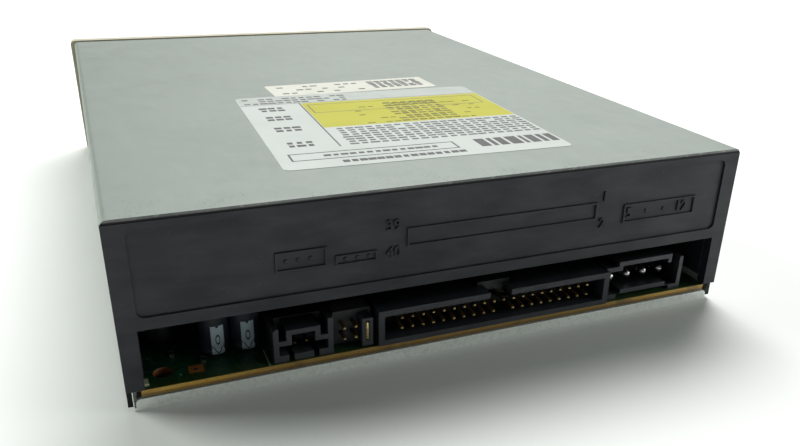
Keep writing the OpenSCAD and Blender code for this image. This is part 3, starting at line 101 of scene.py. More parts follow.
class Finish(NodeTree):
    """A finish being mixed: one Principled shader, with patterns laid on the piece's own coordinates."""

    def __init__(self, name, colour, rough, metal=0.0, **sockets):
        self.material = bpy.data.materials.new(name)
        self.material.use_nodes = True
        self.tree = self.material.node_tree
        self.shader = self.tree.nodes["Principled BSDF"]
        self.own = self.add("ShaderNodeTexCoord").outputs
        self.colour = (*colour, 1)
        self.bumped = None
        named = {"Base Color": self.colour, "Roughness": rough, "Metallic": metal}
        named.update({k.replace("_", " ").title().replace("Ior", "IOR"): v for k, v in sockets.items()})
        self.wire(self.shader, named)

    def laid(self, stretch=(1, 1, 1)):
        """The piece's own coordinates, squeezed along some axes."""
        return self.add("ShaderNodeMapping", {"Vector": self.own["Object"], "Scale": stretch}).outputs[0]

    def grain(self, size, detail=3, stretch=(1, 1, 1)):
        """Noise from 0 to 1 with lumps of that size in millimetres."""
        values = {"Vector": self.laid(stretch), "Scale": 1 / (size * MM), "Detail": detail}
        return self.add("ShaderNodeTexNoise", values).outputs[0]

    def span(self, value, low, high, to_low=0.0, to_high=1.0):
        """value spread from low..high over to_low..to_high, and held there beyond."""
        values = {"Value": value, "From Min": low, "From Max": high, "To Min": to_low, "To Max": to_high}
        return self.add("ShaderNodeMapRange", values).outputs[0]

    def chain(self, value, *steps):
        """value after each (operation, amount) in turn."""
        for operation, amount in steps:
            value = self.reckon(operation, value, amount)
        return value

    def inward(self, near, far):
        """From 0 at one depth behind the rear face to 1 at another, in millimetres."""
        y = self.add("ShaderNodeSeparateXYZ", {"Vector": self.own["Object"]}).outputs[1]
        return self.span(y, (rear_y - near) * MM, (rear_y - far) * MM)

    def shade(self, amount, colour):
        """Turns the colour so far towards another, by an amount from 0 to 1."""
        mix = self.add("ShaderNodeMix", data_type="RGBA")
        self.wire(mix, {0: amount, 6: self.colour, 7: (*colour, 1)})
        self.colour = mix.outputs[2]
        self.wire(self.shader, {"Base Color": self.colour})

    def polish(self, amount, low, high):
        """Roughness from low to high as amount goes from 0 to 1."""
        self.wire(self.shader, {"Roughness": self.span(amount, 0, 1, low, high)})

    def relief(self, height, depth):
        """Bumps of that height in millimetres, over any that are there."""
        values = {"Height": height, "Distance": depth * MM}
        if self.bumped:
            values["Normal"] = self.bumped
        self.bumped = self.add("ShaderNodeBump", values).outputs[0]
        self.wire(self.shader, {"Normal": self.bumped})


# The drive's finishes
def galvanised_sheet():
    f = Finish("galvanised sheet", (0.217, 0.246, 0.22), 0.5, 0.25)
    clouds = f.span(f.grain(45, 4), 0.35, 0.7)
    f.shade(clouds, (0.20, 0.228, 0.203))
    streaks = f.span(f.grain(3, 4, (1, 0.25, 1)), 0.5, 0.8, 0, 0.35)
    f.shade(streaks, (0.25, 0.275, 0.25))
    specks = f.reckon("MULTIPLY", f.span(f.grain(0.55, 1), 0.69, 0.73), f.span(f.grain(14, 2), 0.48, 0.62))
    f.shade(specks, (0.17, 0.18, 0.17))
    scuffs = f.span(f.grain(0.7, 2, (1, 1.6, 1)), 0.6, 0.65)
    rubbed = f.reckon("MULTIPLY", scuffs, f.span(f.grain(7, 2), 0.45, 0.62))
    f.shade(f.chain(rubbed, ("MULTIPLY", f.inward(15, 1)), ("MULTIPLY", 0.7)), (0.05, 0.053, 0.053))
    f.polish(f.span(f.grain(8, 4), 0.3, 0.7), 0.48, 0.62)
    f.relief(f.grain(0.9, 4), 0.006)
    return f.material


def sheared_edge():
    """The cut edge of the cover: torn metal above, shadow where it meets the plastic."""
    f = Finish("sheared steel edge", (0.175, 0.18, 0.18), 0.4, 0.6)
    f.shade(f.span(f.grain(6, 3), 0.42, 0.68), (0.12, 0.123, 0.123))
    f.shade(f.span(f.grain(1.4, 2), 0.6, 0.7, 0, 0.4), (0.40, 0.40, 0.39))
    height = f.add("ShaderNodeSeparateXYZ", {"Vector": f.own["Object"]}).outputs[2]
    f.shade(f.span(height, (cover_top - 0.38) * MM, (cover_top - 0.66) * MM), (0.006, 0.006, 0.007))
    f.relief(f.grain(0.25, 3, (1, 1, 6)), 0.03)
    return f.material


def plated_pan():
    f = Finish("plated pan", (0.92, 0.94, 0.91), 0.4, 0.2)
    f.shade(f.span(f.grain(20, 4), 0.4, 0.7), (0.85, 0.87, 0.84))
    f.shade(f.span(f.grain(0.8, 4), 0.45, 0.62, 0, 0.3), (0.60, 0.61, 0.585))
    f.shade(f.span(f.grain(0.45, 1), 0.73, 0.76, 0, 0.45), (0.34, 0.34, 0.33))
    f.polish(f.span(f.grain(3, 4), 0.3, 0.7), 0.3, 0.44)
    f.relief(f.grain(0.6, 4), 0.006)
    return f.material


def charcoal_moulding():
    f = Finish("charcoal moulding", (0.011, 0.0125, 0.018), 0.55, specular_ior_level=0.45)
    f.shade(f.span(f.grain(26, 4), 0.4, 0.7), (0.0145, 0.016, 0.022))
    f.shade(f.span(f.grain(2.2, 4, (0.3, 1, 1.3)), 0.48, 0.72, 0, 0.7), (0.021, 0.0225, 0.028))
    f.polish(f.span(f.grain(5, 4, (0.4, 1, 1)), 0.35, 0.65), 0.45, 0.64)
    f.relief(f.grain(0.32, 3), 0.022)
    f.shade(f.span(f.grain(0.9, 1), 0.77, 0.8, 0, 0.6), (0.05, 0.05, 0.05))
    return f.material


def socket_moulding():
    f = Finish("socket moulding", (0.026, 0.028, 0.036), 0.36)
    f.shade(f.span(f.grain(7, 3), 0.4, 0.7), (0.036, 0.039, 0.048))
    # painted shade: the moulding turns near black from 2 mm to 4.6 mm behind the rear face, where shade falls
    # inside the sockets
    f.shade(f.inward(2.0, 4.6), (0.006, 0.0065, 0.008))
    f.polish(f.span(f.grain(3, 3), 0.35, 0.65), 0.3, 0.46)
    f.relief(f.grain(0.5, 3), 0.008)
    return f.material


def beige_moulding():
    f = Finish("beige moulding", (0.49, 0.45, 0.345), 0.5)
    f.shade(f.span(f.grain(30, 4), 0.4, 0.7), (0.46, 0.415, 0.31))
    f.polish(f.span(f.grain(9, 4), 0.35, 0.65), 0.42, 0.56)
    f.relief(f.grain(0.35, 2), 0.02)
    return f.material


def tray_moulding():
    f = Finish("tray moulding", (0.036, 0.037, 0.040), 0.45)
    f.shade(f.span(f.grain(30, 3), 0.4, 0.7), (0.045, 0.046, 0.049))
    f.polish(f.span(f.grain(12, 4), 0.35, 0.65), 0.36, 0.5)
    f.relief(f.grain(0.28, 3), 0.018)
    return f.material


def solder_mask():
    f = Finish("green solder mask", (0.006, 0.042, 0.020), 0.4)
    f.shade(f.span(f.grain(5, 3), 0.45, 0.6), (0.004, 0.027, 0.014))
    tracks = f.reckon("PINGPONG", f.reckon("MULTIPLY", f.grain(9, 0), 30.0), 1.0)
    f.shade(f.span(tracks, 0.76, 0.8, 0, 0.8), (0.012, 0.085, 0.032))
    # lighter and more olive within 4.5 mm of the rear edge
    f.shade(f.chain(f.inward(4.5, 1.0), ("MULTIPLY", 0.75)), (0.035, 0.060, 0.012))
    # painted shade: darker from 12 mm to 26 mm in from the rear edge, where the board lies in shade inside the
    # case
    f.shade(f.chain(f.inward(12, 26), ("MULTIPLY", 0.8)), (0.002, 0.008, 0.005))
    f.relief(f.span(tracks, 0.72, 0.8), 0.02)
    f.relief(f.grain(0.5, 2), 0.02)
    return f.material


def laminate_edge():
    f = Finish("amber laminate edge", (0.52, 0.29, 0.045), 0.5)
    f.shade(f.span(f.grain(0.7, 3, (1, 1, 4)), 0.4, 0.65), (0.62, 0.40, 0.075))
    across, _, height = f.add("ShaderNodeSeparateXYZ", {"Vector": f.own["Object"]}).outputs
    # darker brown towards the bottom of the edge
    low_down = f.span(height, (board_top - 0.7) * MM, (board_top - 1.1) * MM)
    f.shade(f.chain(low_down, ("MULTIPLY", 0.8)), (0.15, 0.075, 0.012))
    # painted shade: darker across the middle of the edge, under the connector shells
    f.shade(f.span(f.reckon("ABSOLUTE", across, 0.0), 56 * MM, 40 * MM, 0, 0.55), (0.12, 0.07, 0.02))
    f.shade(f.span(f.grain(7, 3), 0.58, 0.7, 0, 0.6), (0.10, 0.06, 0.02))
    f.relief(f.grain(0.2, 3, (1, 1, 4)), 0.04)
    return f.material


def bare_copper():
    f = Finish("bare copper", (0.46, 0.17, 0.035), 0.4, 0.3)
    f.shade(f.span(f.grain(1.1, 3), 0.4, 0.7), (0.36, 0.12, 0.025))
    f.relief(f.grain(0.5, 3), 0.03)
    return f.material


def drilled_wall():
    f = Finish("drilled laminate", (0.26, 0.085, 0.018), 0.5)
    f.shade(f.span(f.grain(0.6, 3, (1, 1, 3)), 0.4, 0.65), (0.16, 0.05, 0.012))
    f.relief(f.grain(0.2, 3, (1, 1, 4)), 0.04)
    return f.material


def shaded_gold():
    """Gold in painted shade: a darker copy of the gold plating, for the shafts of the pins behind their bright
    tips, which stand in the dark inside the sockets.
    """
    f = Finish("gold in painted shade", (0.20, 0.125, 0.045), 0.45, 0.8)
    f.shade(f.span(f.grain(0.8, 2), 0.4, 0.7), (0.13, 0.08, 0.03))
    return f.material


def gold_plating():
    f = Finish("gold plating", (0.83, 0.62, 0.28), 0.25, 1.0)
    f.shade(f.span(f.grain(0.8, 2), 0.4, 0.7), (0.66, 0.46, 0.18))
    f.polish(f.span(f.grain(0.6, 3), 0.35, 0.65), 0.2, 0.36)
    return f.material


def tin_plating():
    f = Finish("tin plating", (0.72, 0.71, 0.68), 0.24, 1.0)
    f.shade(f.span(f.grain(1.0, 2), 0.4, 0.7), (0.58, 0.57, 0.54))
    f.polish(f.span(f.grain(0.7, 3), 0.35, 0.65), 0.2, 0.38)
    return f.material


def shrink_sleeve():
    """A dark sleeve with a pale stripe, on which stand an oval and an arrow."""
    f = Finish("dark shrink sleeve", (0.010, 0.012, 0.020), 0.5, specular_ior_level=0.3)
    f.shade(f.span(f.grain(4, 3), 0.4, 0.7), (0.016, 0.019, 0.030))
    across, up = f.add("ShaderNodeSeparateXYZ", {"Vector": f.own["UV"]}).outputs[:2]
    x = f.chain(across, ("SUBTRACT", 0.5), ("MULTIPLY", sleeve_span), ("ABSOLUTE", 0.0))
    y = f.reckon("MULTIPLY", up, sleeve_span)

    def round_at(height, wide, high):
        a = f.chain(x, ("DIVIDE", wide), ("POWER", 2.0))
        b = f.chain(y, ("SUBTRACT", height), ("DIVIDE", high), ("ABSOLUTE", 0.0), ("POWER", 2.0))
        return f.reckon("POWER", f.reckon("ADD", a, b), 0.5)

    oval = f.chain(round_at(3.85, 0.44, 1.0), ("SUBTRACT", 1.0), ("ABSOLUTE", 0.0), ("LESS_THAN", 0.2))
    slope = f.chain(x, ("MULTIPLY", 1.35), ("ADD", 0.55))
    arrow = f.chain(f.reckon("SUBTRACT", y, slope), ("ABSOLUTE", 0.0), ("LESS_THAN", 0.17))
    notch = f.reckon("LESS_THAN", round_at(7.05, 0.32, 0.4), 1.0)
    marks = f.reckon("MAXIMUM", f.reckon("MAXIMUM", oval, arrow), notch)
    # painted shade: the stripe stops 7.1 mm up the can, so the sleeve above it stays dark where shade falls on
    # the can's upper part
    stripe = f.reckon("MULTIPLY", f.reckon("LESS_THAN", x, 1.42), f.reckon("LESS_THAN", y, 7.1))
    f.shade(f.reckon("MULTIPLY", stripe, f.reckon("SUBTRACT", 1.0, marks)), (0.31, 0.385, 0.43))
    f.relief(f.grain(1.2, 2), 0.02)
    return f.material


def rubber():
    f = Finish("black rubber", (0.016, 0.016, 0.017), 0.75)
    f.shade(f.span(f.grain(3, 3), 0.4, 0.7), (0.028, 0.028, 0.028))
    f.relief(f.grain(0.3, 3), 0.02)
    return f.material


def chip_resin():
    f = Finish("chip resin", (0.016, 0.016, 0.018), 0.55)
    f.shade(f.span(f.grain(2.5, 3), 0.4, 0.7), (0.026, 0.026, 0.027))
    f.relief(f.grain(0.15, 2), 0.012)
    return f.material


def turned_metal():
    f = Finish("ground steel", (0.68, 0.69, 0.70), 0.22, 1.0)
    f.shade(f.span(f.grain(2.5, 3), 0.4, 0.7), (0.58, 0.59, 0.60))
    f.polish(f.span(f.grain(0.5, 3, (1, 0.1, 1)), 0.35, 0.65), 0.16, 0.3)
    return f.material


def zinc_screw():
    f = Finish("zinc plated screw", (0.55, 0.56, 0.57), 0.3, 1.0)
    f.shade(f.span(f.grain(1.2, 3), 0.4, 0.7), (0.42, 0.43, 0.45))
    f.polish(f.span(f.grain(0.6, 3), 0.35, 0.65), 0.25, 0.42)
    return f.material


def ribbon_film():
    f = Finish("ribbon film", (0.74, 0.73, 0.68), 0.4)
    values = {"Vector": f.laid(), "Scale": 1 / (pin_pitch * MM * math.pi)}
    wires = f.add("ShaderNodeTexWave", values, bands_direction="X").outputs["Fac"]
    f.shade(f.span(wires, 0.4, 0.6, 0, 0.6), (0.52, 0.53, 0.53))
    f.relief(wires, 0.05)
    return f.material


def control_metal():
    f = Finish("plated control metal", (0.40, 0.41, 0.43), 0.35, 0.9)
    f.shade(f.span(f.grain(2.0, 3), 0.4, 0.7), (0.30, 0.31, 0.33))
    f.relief(f.grain(0.3, 3), 0.01)
    return f.material


def green_lens():
    f = Finish("green lens", (0.10, 0.34, 0.10), 0.18, transmission_weight=0.35, coat_weight=0.4)
    f.shade(f.span(f.grain(1.6, 2), 0.4, 0.7), (0.07, 0.26, 0.08))
    f.relief(f.grain(0.5, 2), 0.01)
    return f.material


def motor_can():
    f = Finish("drawn motor can", (0.50, 0.51, 0.52), 0.34, 1.0)
    f.shade(f.span(f.grain(6, 4), 0.4, 0.7), (0.40, 0.41, 0.42))
    f.polish(f.span(f.grain(1.2, 3, (1, 1, 0.1)), 0.35, 0.65), 0.26, 0.42)
    return f.material


def acetal():
    f = Finish("natural acetal", (0.78, 0.75, 0.66), 0.36, subsurface_weight=0.08)
    f.shade(f.span(f.grain(9, 3), 0.4, 0.7), (0.72, 0.685, 0.59))
    f.relief(f.grain(0.6, 3), 0.006)
    return f.material


def plate_steel():
    f = Finish("zinc plated plate", (0.57, 0.58, 0.59), 0.32, 0.9)
    f.shade(f.span(f.grain(16, 4), 0.4, 0.7), (0.48, 0.49, 0.51))
    f.polish(f.span(f.grain(4, 4), 0.35, 0.65), 0.26, 0.42)
    return f.material


def die_casting():
    f = Finish("die casting", (0.48, 0.49, 0.51), 0.46, 0.9)
    f.shade(f.span(f.grain(4, 4), 0.4, 0.7), (0.38, 0.39, 0.41))
    f.relief(f.grain(0.5, 4), 0.03)
    return f.material


def coated_lens():
    f = Finish("coated lens", (0.30, 0.42, 0.72), 0.05, coat_weight=1.0)
    f.shade(f.span(f.grain(2.0, 1), 0.4, 0.7), (0.20, 0.30, 0.66))
    return f.material


def label_paper():
    f = Finish("label film", (0.53, 0.56, 0.53), 0.42, specular_ior_level=0.3)
    f.shade(f.span(f.grain(18, 3), 0.4, 0.7), (0.49, 0.52, 0.49))
    f.relief(f.grain(0.7, 3), 0.004)
    return f.material


def yellow_print():
    f = Finish("yellow print", (0.47, 0.446, 0.043), 0.45, specular_ior_level=0.2)
    f.shade(f.span(f.grain(12, 3), 0.4, 0.7), (0.44, 0.416, 0.036))
    f.relief(f.grain(0.7, 3), 0.004)
    return f.material


def grey_print():
    f = Finish("grey print", (0.10, 0.104, 0.104), 0.5, specular_ior_level=0.2)
    f.shade(f.span(f.grain(1.2, 3), 0.45, 0.6), (0.14, 0.144, 0.144))
    return f.material


def black_print():
    f = Finish("black print", (0.03, 0.03, 0.032), 0.45)
    f.shade(f.span(f.grain(1.0, 3), 0.45, 0.65), (0.05, 0.05, 0.052))
    return f.material


def sticker_paper():
    f = Finish("sticker paper", (0.60, 0.595, 0.53), 0.5, specular_ior_level=0.3)
    f.shade(f.span(f.grain(9, 3), 0.4, 0.7), (0.56, 0.555, 0.49))
    f.relief(f.grain(0.5, 3), 0.004)
    return f.material


def pale_print():
    f = Finish("pale grey print", (0.44, 0.465, 0.44), 0.42)
    f.shade(f.span(f.grain(6, 3), 0.4, 0.7), (0.40, 0.425, 0.40))
    return f.material


def olive_print():
    f = Finish("olive print", (0.15, 0.14, 0.02), 0.5, specular_ior_level=0.2)
    f.shade(f.span(f.grain(1.2, 3), 0.45, 0.6), (0.20, 0.187, 0.025))
    return f.material


def cream_ceramic():
    f = Finish("cream ceramic", (0.55, 0.53, 0.38), 0.4)
    f.shade(f.span(f.grain(0.8, 3), 0.4, 0.7), (0.46, 0.44, 0.31))
    return f.material


def covered_solder():
    f = Finish("solder under mask", (0.02, 0.14, 0.09), 0.25, coat_weight=0.4, coat_roughness=0.15)
    f.shade(f.span(f.grain(1.5, 2), 0.45, 0.6), (0.03, 0.20, 0.13))
    return f.material


FINISHES = {
    "cover_steel": galvanised_sheet(), "pan_steel": plated_pan(), "black_plastic": charcoal_moulding(),
    "bezel_plastic": beige_moulding(), "tray_plastic": tray_moulding(),
    "connector_plastic": socket_moulding(), "board_laminate": solder_mask(), "gold_pins": gold_plating(),
    "tin_pins": tin_plating(), "capacitor_sleeve": shrink_sleeve(), "rubber": rubber(),
    "chip_resin": chip_resin(), "bright_metal": turned_metal(), "screw_steel": zinc_screw(),
    "ribbon_film": ribbon_film(), "control_metal": control_metal(), "green_lens": green_lens(),
    "motor_metal": motor_can(), "white_plastic": acetal(), "plate_steel": plate_steel(),
    "die_cast": die_casting(), "lens_glass": coated_lens(),
}
SHEARED = sheared_edge()
LAMINATE = laminate_edge()
COPPER = bare_copper()
DRILLED = drilled_wall()
SHADED_GOLD = shaded_gold()
LABEL = label_paper()
LABEL_WHITE = sticker_paper()
PALE = pale_print()
OLIVE = olive_print()
CREAM = cream_ceramic()
MASK_DROP = covered_solder()
YELLOW = yellow_print()
GREY = grey_print()
BLACK = black_print()


# How a piece is made and fitted
def linked(name, data):
    """A new object in the scene."""
    thing = bpy.data.objects.new(name, data)
    bpy.context.scene.collection.objects.link(thing)
    return thing


def settled(thing):
    """The plain mesh that an object comes to. The object itself is taken away."""
    result = bpy.data.meshes.new_from_object(thing.evaluated_get(bpy.context.evaluated_depsgraph_get()))
    bpy.data.objects.remove(thing)
    return result


def fitted(name, mesh, body, finishes=(), stands_for=()):
    """Puts a finished mesh on its body, in its finishes, in place of any solids that it stands for."""
    thing = linked(name, mesh)
    for finish in finishes:
        mesh.materials.append(finish)
    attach(thing, body)
    if stands_for:
        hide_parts(*stands_for)


def worked(mesh, *modifiers):
    """The mesh after these modifiers, each a kind and its settings."""
    thing = linked("blank", mesh)
    for kind, settings in modifiers:
        modifier = thing.modifiers.new(kind.title(), kind)
        for name, value in settings.items():
            setattr(modifier, name, value)
    return settled(thing)


def welded(node):
    """A solid's loose triangles as one clean mesh of flat faces."""
    mesh = nodes[node].data.copy()
    mesh.materials.clear()
    if "custom_normal" in mesh.attributes:
        mesh.attributes.remove(mesh.attributes["custom_normal"])
    work = bmesh.new()
    work.from_mesh(mesh)
    bmesh.ops.remove_doubles(work, verts=work.verts, dist=0.002 * MM)
    bmesh.ops.dissolve_limit(work, angle_limit=math.radians(0.6), verts=work.verts, edges=work.edges)
    work.to_mesh(mesh)
    work.free()
    return mesh


def broken_edges(mesh, width, segments=2):
    """The mesh with every sharp edge broken by that many millimetres."""
    mesh.shade_smooth()
    bevel = {"width": width * MM, "segments": segments, "limit_method": "ANGLE",
             "angle_limit": math.radians(32), "use_clamp_overlap": True, "harden_normals": False,
             "miter_outer": "MITER_ARC"}
    return worked(mesh, ("BEVEL", bevel), ("WEIGHTED_NORMAL", {"keep_sharp": True}))


def dress(node, width, finish=None):
    """Puts a solid's own shape with broken edges in its place, in its finish."""
    mesh = broken_edges(welded(node), width)
    worn = finish or FINISHES[slot_of[node]]
    fitted(node + "_made", mesh, body_of[node], [worn], [node])


def mesh_from(work, name):
    """A plain mesh out of a bmesh, its faces all turned outwards."""
    bmesh.ops.recalc_face_normals(work, faces=work.faces)
    mesh = bpy.data.meshes.new(name)
    work.to_mesh(mesh)
    work.free()
    return mesh


def lofted(work, outlines):
    """Adds a solid through outlines stacked upwards: each a height and its x, y pairs, in millimetres."""
    rings = [[work.verts.new(Vector((x, y, z)) * MM) for x, y in outline] for z, outline in outlines]
    work.faces.new(rings[0][::-1])
    work.faces.new(rings[-1])
    for low, high in zip(rings, rings[1:]):
        for i in range(len(low)):
            j = (i + 1) % len(low)
            work.faces.new((low[i], low[j], high[j], high[i]))


def slab(work, outline, low, high):
    """Adds a flat plate of that outline between two heights."""
    lofted(work, [(low, outline), (high, outline)])


def oblong(x0, y0, x1, y1):
    """The outline of a rectangle."""
    return [(x0, y0), (x1, y0), (x1, y1), (x0, y1)]


def rounded(x0, y0, x1, y1, r, steps=6):
    """The outline of a rectangle with rounded corners."""
    outline = []
    corners = ((x1 - r, y1 - r, 0), (x0 + r, y1 - r, 90), (x0 + r, y0 + r, 180), (x1 - r, y0 + r, 270))
    for x, y, start in corners:
        for k in range(steps + 1):
            turn = math.radians(start + 90 * k / steps)
            outline.append((x + r * math.cos(turn), y + r * math.sin(turn)))
    return outline


def frame_of(work, x0, y0, x1, y1, line, low, high):
    """Adds a ruled frame of that line width."""
    for corners in ((x0, y0, x1, y0 + line), (x0, y1 - line, x1, y1),
                    (x0, y0 + line, x0 + line, y1 - line), (x1 - line, y0 + line, x1, y1 - line)):
        slab(work, oblong(*corners), low, high)


def disc(r, low, high):
    """The profile of a flat round, for turned_shape."""
    return [(0, low), (r, low), (r, high), (0, high)]


def turned_shape(work, profile, x, y, steps=32):
    """Adds a shape turned on an upright axis through (radius, height) pairs, and gives its faces."""
    rings = []
    for r, z in profile:
        turns = [math.tau * k / steps for k in range(steps)] if r else [0]
        ring = [Vector((x + r * math.cos(turn), y + r * math.sin(turn), z)) for turn in turns]
        rings.append([work.verts.new(at * MM) for at in ring])
    made = []
    for low, high in zip(rings, rings[1:]):
        for k in range(steps):
            j = (k + 1) % steps
            if len(low) == 1:
                loop = (low[0], high[j], high[k])
            elif len(high) == 1:
                loop = (low[k], low[j], high[0])
            else:
                loop = (low[k], low[j], high[j], high[k])
            face = work.faces.new(loop)
            face.smooth = True
            made.append(face)
    return made


class Pattern(NodeTree):
    """A Geometry Nodes tree being laid out, with a named input for each size."""

    def __init__(self, name, sizes):
        self.tree = bpy.data.node_groups.new(name, "GeometryNodeTree")
        self.sizes = {}
        kinds = {int: "NodeSocketInt", float: "NodeSocketFloat"}
        self.tree.interface.new_socket("Geometry", in_out="OUTPUT", socket_type="NodeSocketGeometry")
        self.tree.interface.new_socket("Geometry", in_out="INPUT", socket_type="NodeSocketGeometry")
        for size, value in sizes.items():
            socket = self.tree.interface.new_socket(size, in_out="INPUT", socket_type=kinds[type(value)])
            self.sizes[size] = (socket.identifier, value)
        self.given = self.add("NodeGroupInput").outputs

    def point(self, x=0.0, y=0.0, z=0.0):
        """A place or a size out of three numbers."""
        return self.add("ShaderNodeCombineXYZ", {"X": x, "Y": y, "Z": z}).outputs[0]

    def is_number(self, wanted):
        """Whether a point is the one of that number in its row."""
        number = self.add("GeometryNodeInputIndex").outputs[0]
        same = self.add("FunctionNodeCompare", {2: number, 3: wanted}, data_type="INT", operation="EQUAL")
        return same.outputs[0]

    def chance(self, low, high, seed):
        """A number by chance between those two."""
        values = {2: low, 3: high, "Seed": seed}
        return self.add("FunctionNodeRandomValue", values, data_type="FLOAT").outputs[1]

    def grid(self, across, along, pitch_across, pitch_along):
        """A level grid of so many places each way, at those pitches."""
        return self.add("GeometryNodeMeshGrid", {
            "Size X": self.reckon("MULTIPLY", pitch_across, self.reckon("SUBTRACT", across, 1.0)),
            "Size Y": self.reckon("MULTIPLY", pitch_along, self.reckon("SUBTRACT", along, 1.0)),
            "Vertices X": across, "Vertices Y": along}).outputs["Mesh"]

    def without(self, points, gone):
        """The points less those that are gone."""
        values = {"Geometry": points, "Selection": gone}
        return self.add("GeometryNodeDeleteGeometry", values, domain="POINT").outputs[0]

    def end(self, points, piece, **turns_and_scales):
        """Ends the tree: the piece at each point, as real geometry with a finish of its own."""
        values = {"Points": points, "Instance": piece, **turns_and_scales}
        placed = self.add("GeometryNodeInstanceOnPoints", values).outputs[0]
        real = self.add("GeometryNodeRealizeInstances", {"Geometry": placed}).outputs[0]
        painted = self.add("GeometryNodeSetMaterial", {"Geometry": real}).outputs[0]
        self.add("NodeGroupOutput", {"Geometry": painted})

    def laid_on(self, start, finish, sizes=None):
        """The plain mesh that the tree makes from a starting mesh, in one finish, with some sizes changed."""
        self.tree.nodes["Set Material"].inputs["Material"].default_value = finish
        thing = linked("blank", start)
        modifier = thing.modifiers.new("pattern", "NODES")
        modifier.node_group = self.tree
        for size, (identifier, value) in self.sizes.items():
            modifier[identifier] = (sizes or {}).get(size, value)
        return settled(thing)


def pin_row_tree():
    """Rows of square pins: each follows the given path, with a filed tip, and one may be left out."""
    t = Pattern("pin row", {"Pins": 20, "Pitch": pin_pitch * MM, "Pin width": pin_wide * MM,
                            "Bend radius": 0.6 * MM, "Tip share": 0.5, "Left out": -1})
    path = t.add("GeometryNodeMeshToCurve", {"Mesh": t.given["Geometry"]}).outputs[0]
    path = t.add("GeometryNodeSetCurveRadius", {"Curve": path, "Radius": 1.0}).outputs[0]
    filed = {"Curve": path, "Selection": t.is_number(0), "Radius": t.given["Tip share"]}
    path = t.add("GeometryNodeSetCurveRadius", filed).outputs[0]
    bend = {"Curve": path, "Radius": t.given["Bend radius"], "Limit Radius": True}
    bent = t.add("GeometryNodeFilletCurve", bend)
    square = {"Width": t.given["Pin width"], "Height": t.given["Pin width"]}
    section = t.add("GeometryNodeCurvePrimitiveQuadrilateral", square).outputs[0]
    swept = {"Curve": bent.outputs[0], "Profile Curve": section, "Fill Caps": True}
    pin = t.add("GeometryNodeCurveToMesh", swept)
    t.wire(pin, {"Scale": t.add("GeometryNodeInputRadius").outputs[0]})
    step = t.point(t.reckon("MULTIPLY", t.given["Pitch"], -1.0))
    spaced = {"Count": t.given["Pins"], "Offset": step}
    places = t.add("GeometryNodeMeshLine", spaced, mode="OFFSET").outputs[0]
    t.end(t.without(places, t.is_number(t.given["Left out"])), pin.outputs[0])
    return t


def printed_rows_tree():
    """Rows of small printed blocks, like lines of print seen from too far off to read."""
    t = Pattern("printed rows", {"Rows": 6, "Row pitch": 2.0 * MM, "Blocks": 12, "Block pitch": 3.0 * MM,
                                 "Block height": 0.8 * MM, "Gap share": 0.25, "Ink": 0.02 * MM, "Seed": 1})
    grid = t.grid(t.given["Blocks"], t.given["Rows"], t.given["Block pitch"], t.given["Row pitch"])
    drawn = {0: t.chance(0.0, 1.0, t.given["Seed"]), 1: t.given["Gap share"]}
    gone = t.add("FunctionNodeCompare", drawn, data_type="FLOAT", operation="LESS_THAN").outputs[0]
    length = t.chance(0.55, 0.97, t.reckon("ADD", t.given["Seed"], 7.0))
    size = t.point(t.given["Block pitch"], t.given["Block height"], t.given["Ink"])
    block = t.add("GeometryNodeMeshCube", {"Size": size}).outputs["Mesh"]
    t.end(t.without(grid, gone), block, Scale=t.point(length, 1.0, 1.0))
    return t


def solder_drops_tree():
    """Small domes of covered solder strewn over the given face."""
    t = Pattern("solder drops", {"Density": 9000.0, "Radius": 0.42 * MM, "Height share": 0.35, "Seed": 3})
    spread = {"Mesh": t.given["Geometry"], "Distance Min": t.reckon("MULTIPLY", t.given["Radius"], 4.0),
              "Density Max": t.given["Density"], "Seed": t.given["Seed"]}
    strewn = t.add("GeometryNodeDistributePointsOnFaces", spread, distribute_method="POISSON").outputs["Points"]
    ball = {"Segments": 10, "Rings": 6, "Radius": t.given["Radius"]}
    dome = t.add("GeometryNodeMeshUVSphere", ball).outputs["Mesh"]
    size = t.chance(0.5, 1.1, t.reckon("ADD", t.given["Seed"], 1.0))
    t.end(strewn, dome, Scale=t.point(size, size, t.reckon("MULTIPLY", size, t.given["Height share"])))
    return t


def copies_tree():
    """Copies of the given mesh on a level grid of places, each turned by chance."""
    t = Pattern("copies", {"Across": 2, "Along": 2, "Pitch across": 100 * MM, "Pitch along": 100 * MM,
                           "Turn": 1.4, "Seed": 5})
    grid = t.grid(t.given["Across"], t.given["Along"], t.given["Pitch across"], t.given["Pitch along"])
    turn = t.chance(0.0, t.given["Turn"], t.given["Seed"])
    t.end(grid, t.given["Geometry"], Rotation=t.point(z=turn))
    return t


COPIES = copies_tree()
PIN_ROW = pin_row_tree()
PRINTED_ROWS = printed_rows_tree()
SOLDER_DROPS = solder_drops_tree()


# Camera, light and floor
def photo_camera():
    """The camera as it stood: behind the rear panel, above it and a little towards its audio side."""
    turn, dip, lean = 0.4172, 0.4438, 0.0306
    focal, across, down = 790.36, 429.66, 273.62
    wide, high = 800, 446
    stands = Vector((71.542, 241.226, 94.317))
    ahead = Vector((-math.sin(turn) * math.cos(dip), -math.cos(turn) * math.cos(dip), -math.sin(dip)))
    right = Vector((-math.cos(turn), math.sin(turn), 0))
    up = right.cross(ahead)
    leant_right = right * math.cos(lean) + up * math.sin(lean)
    leant_up = up * math.cos(lean) - right * math.sin(lean)
    data = bpy.data.cameras.new("photo camera")
    data.sensor_width = 36
    data.lens = data.sensor_width * focal / wide
    data.shift_x = (wide / 2 - across) / wide
    data.shift_y = (down - high / 2) / wide
    data.clip_start, data.clip_end = 0.01, 50
    camera = linked("photo camera", data)
    turned = Matrix((leant_right, leant_up, -ahead)).transposed().to_4x4()
    camera.matrix_world = Matrix.Translation(stands * MM) @ turned
    bpy.context.scene.camera = camera


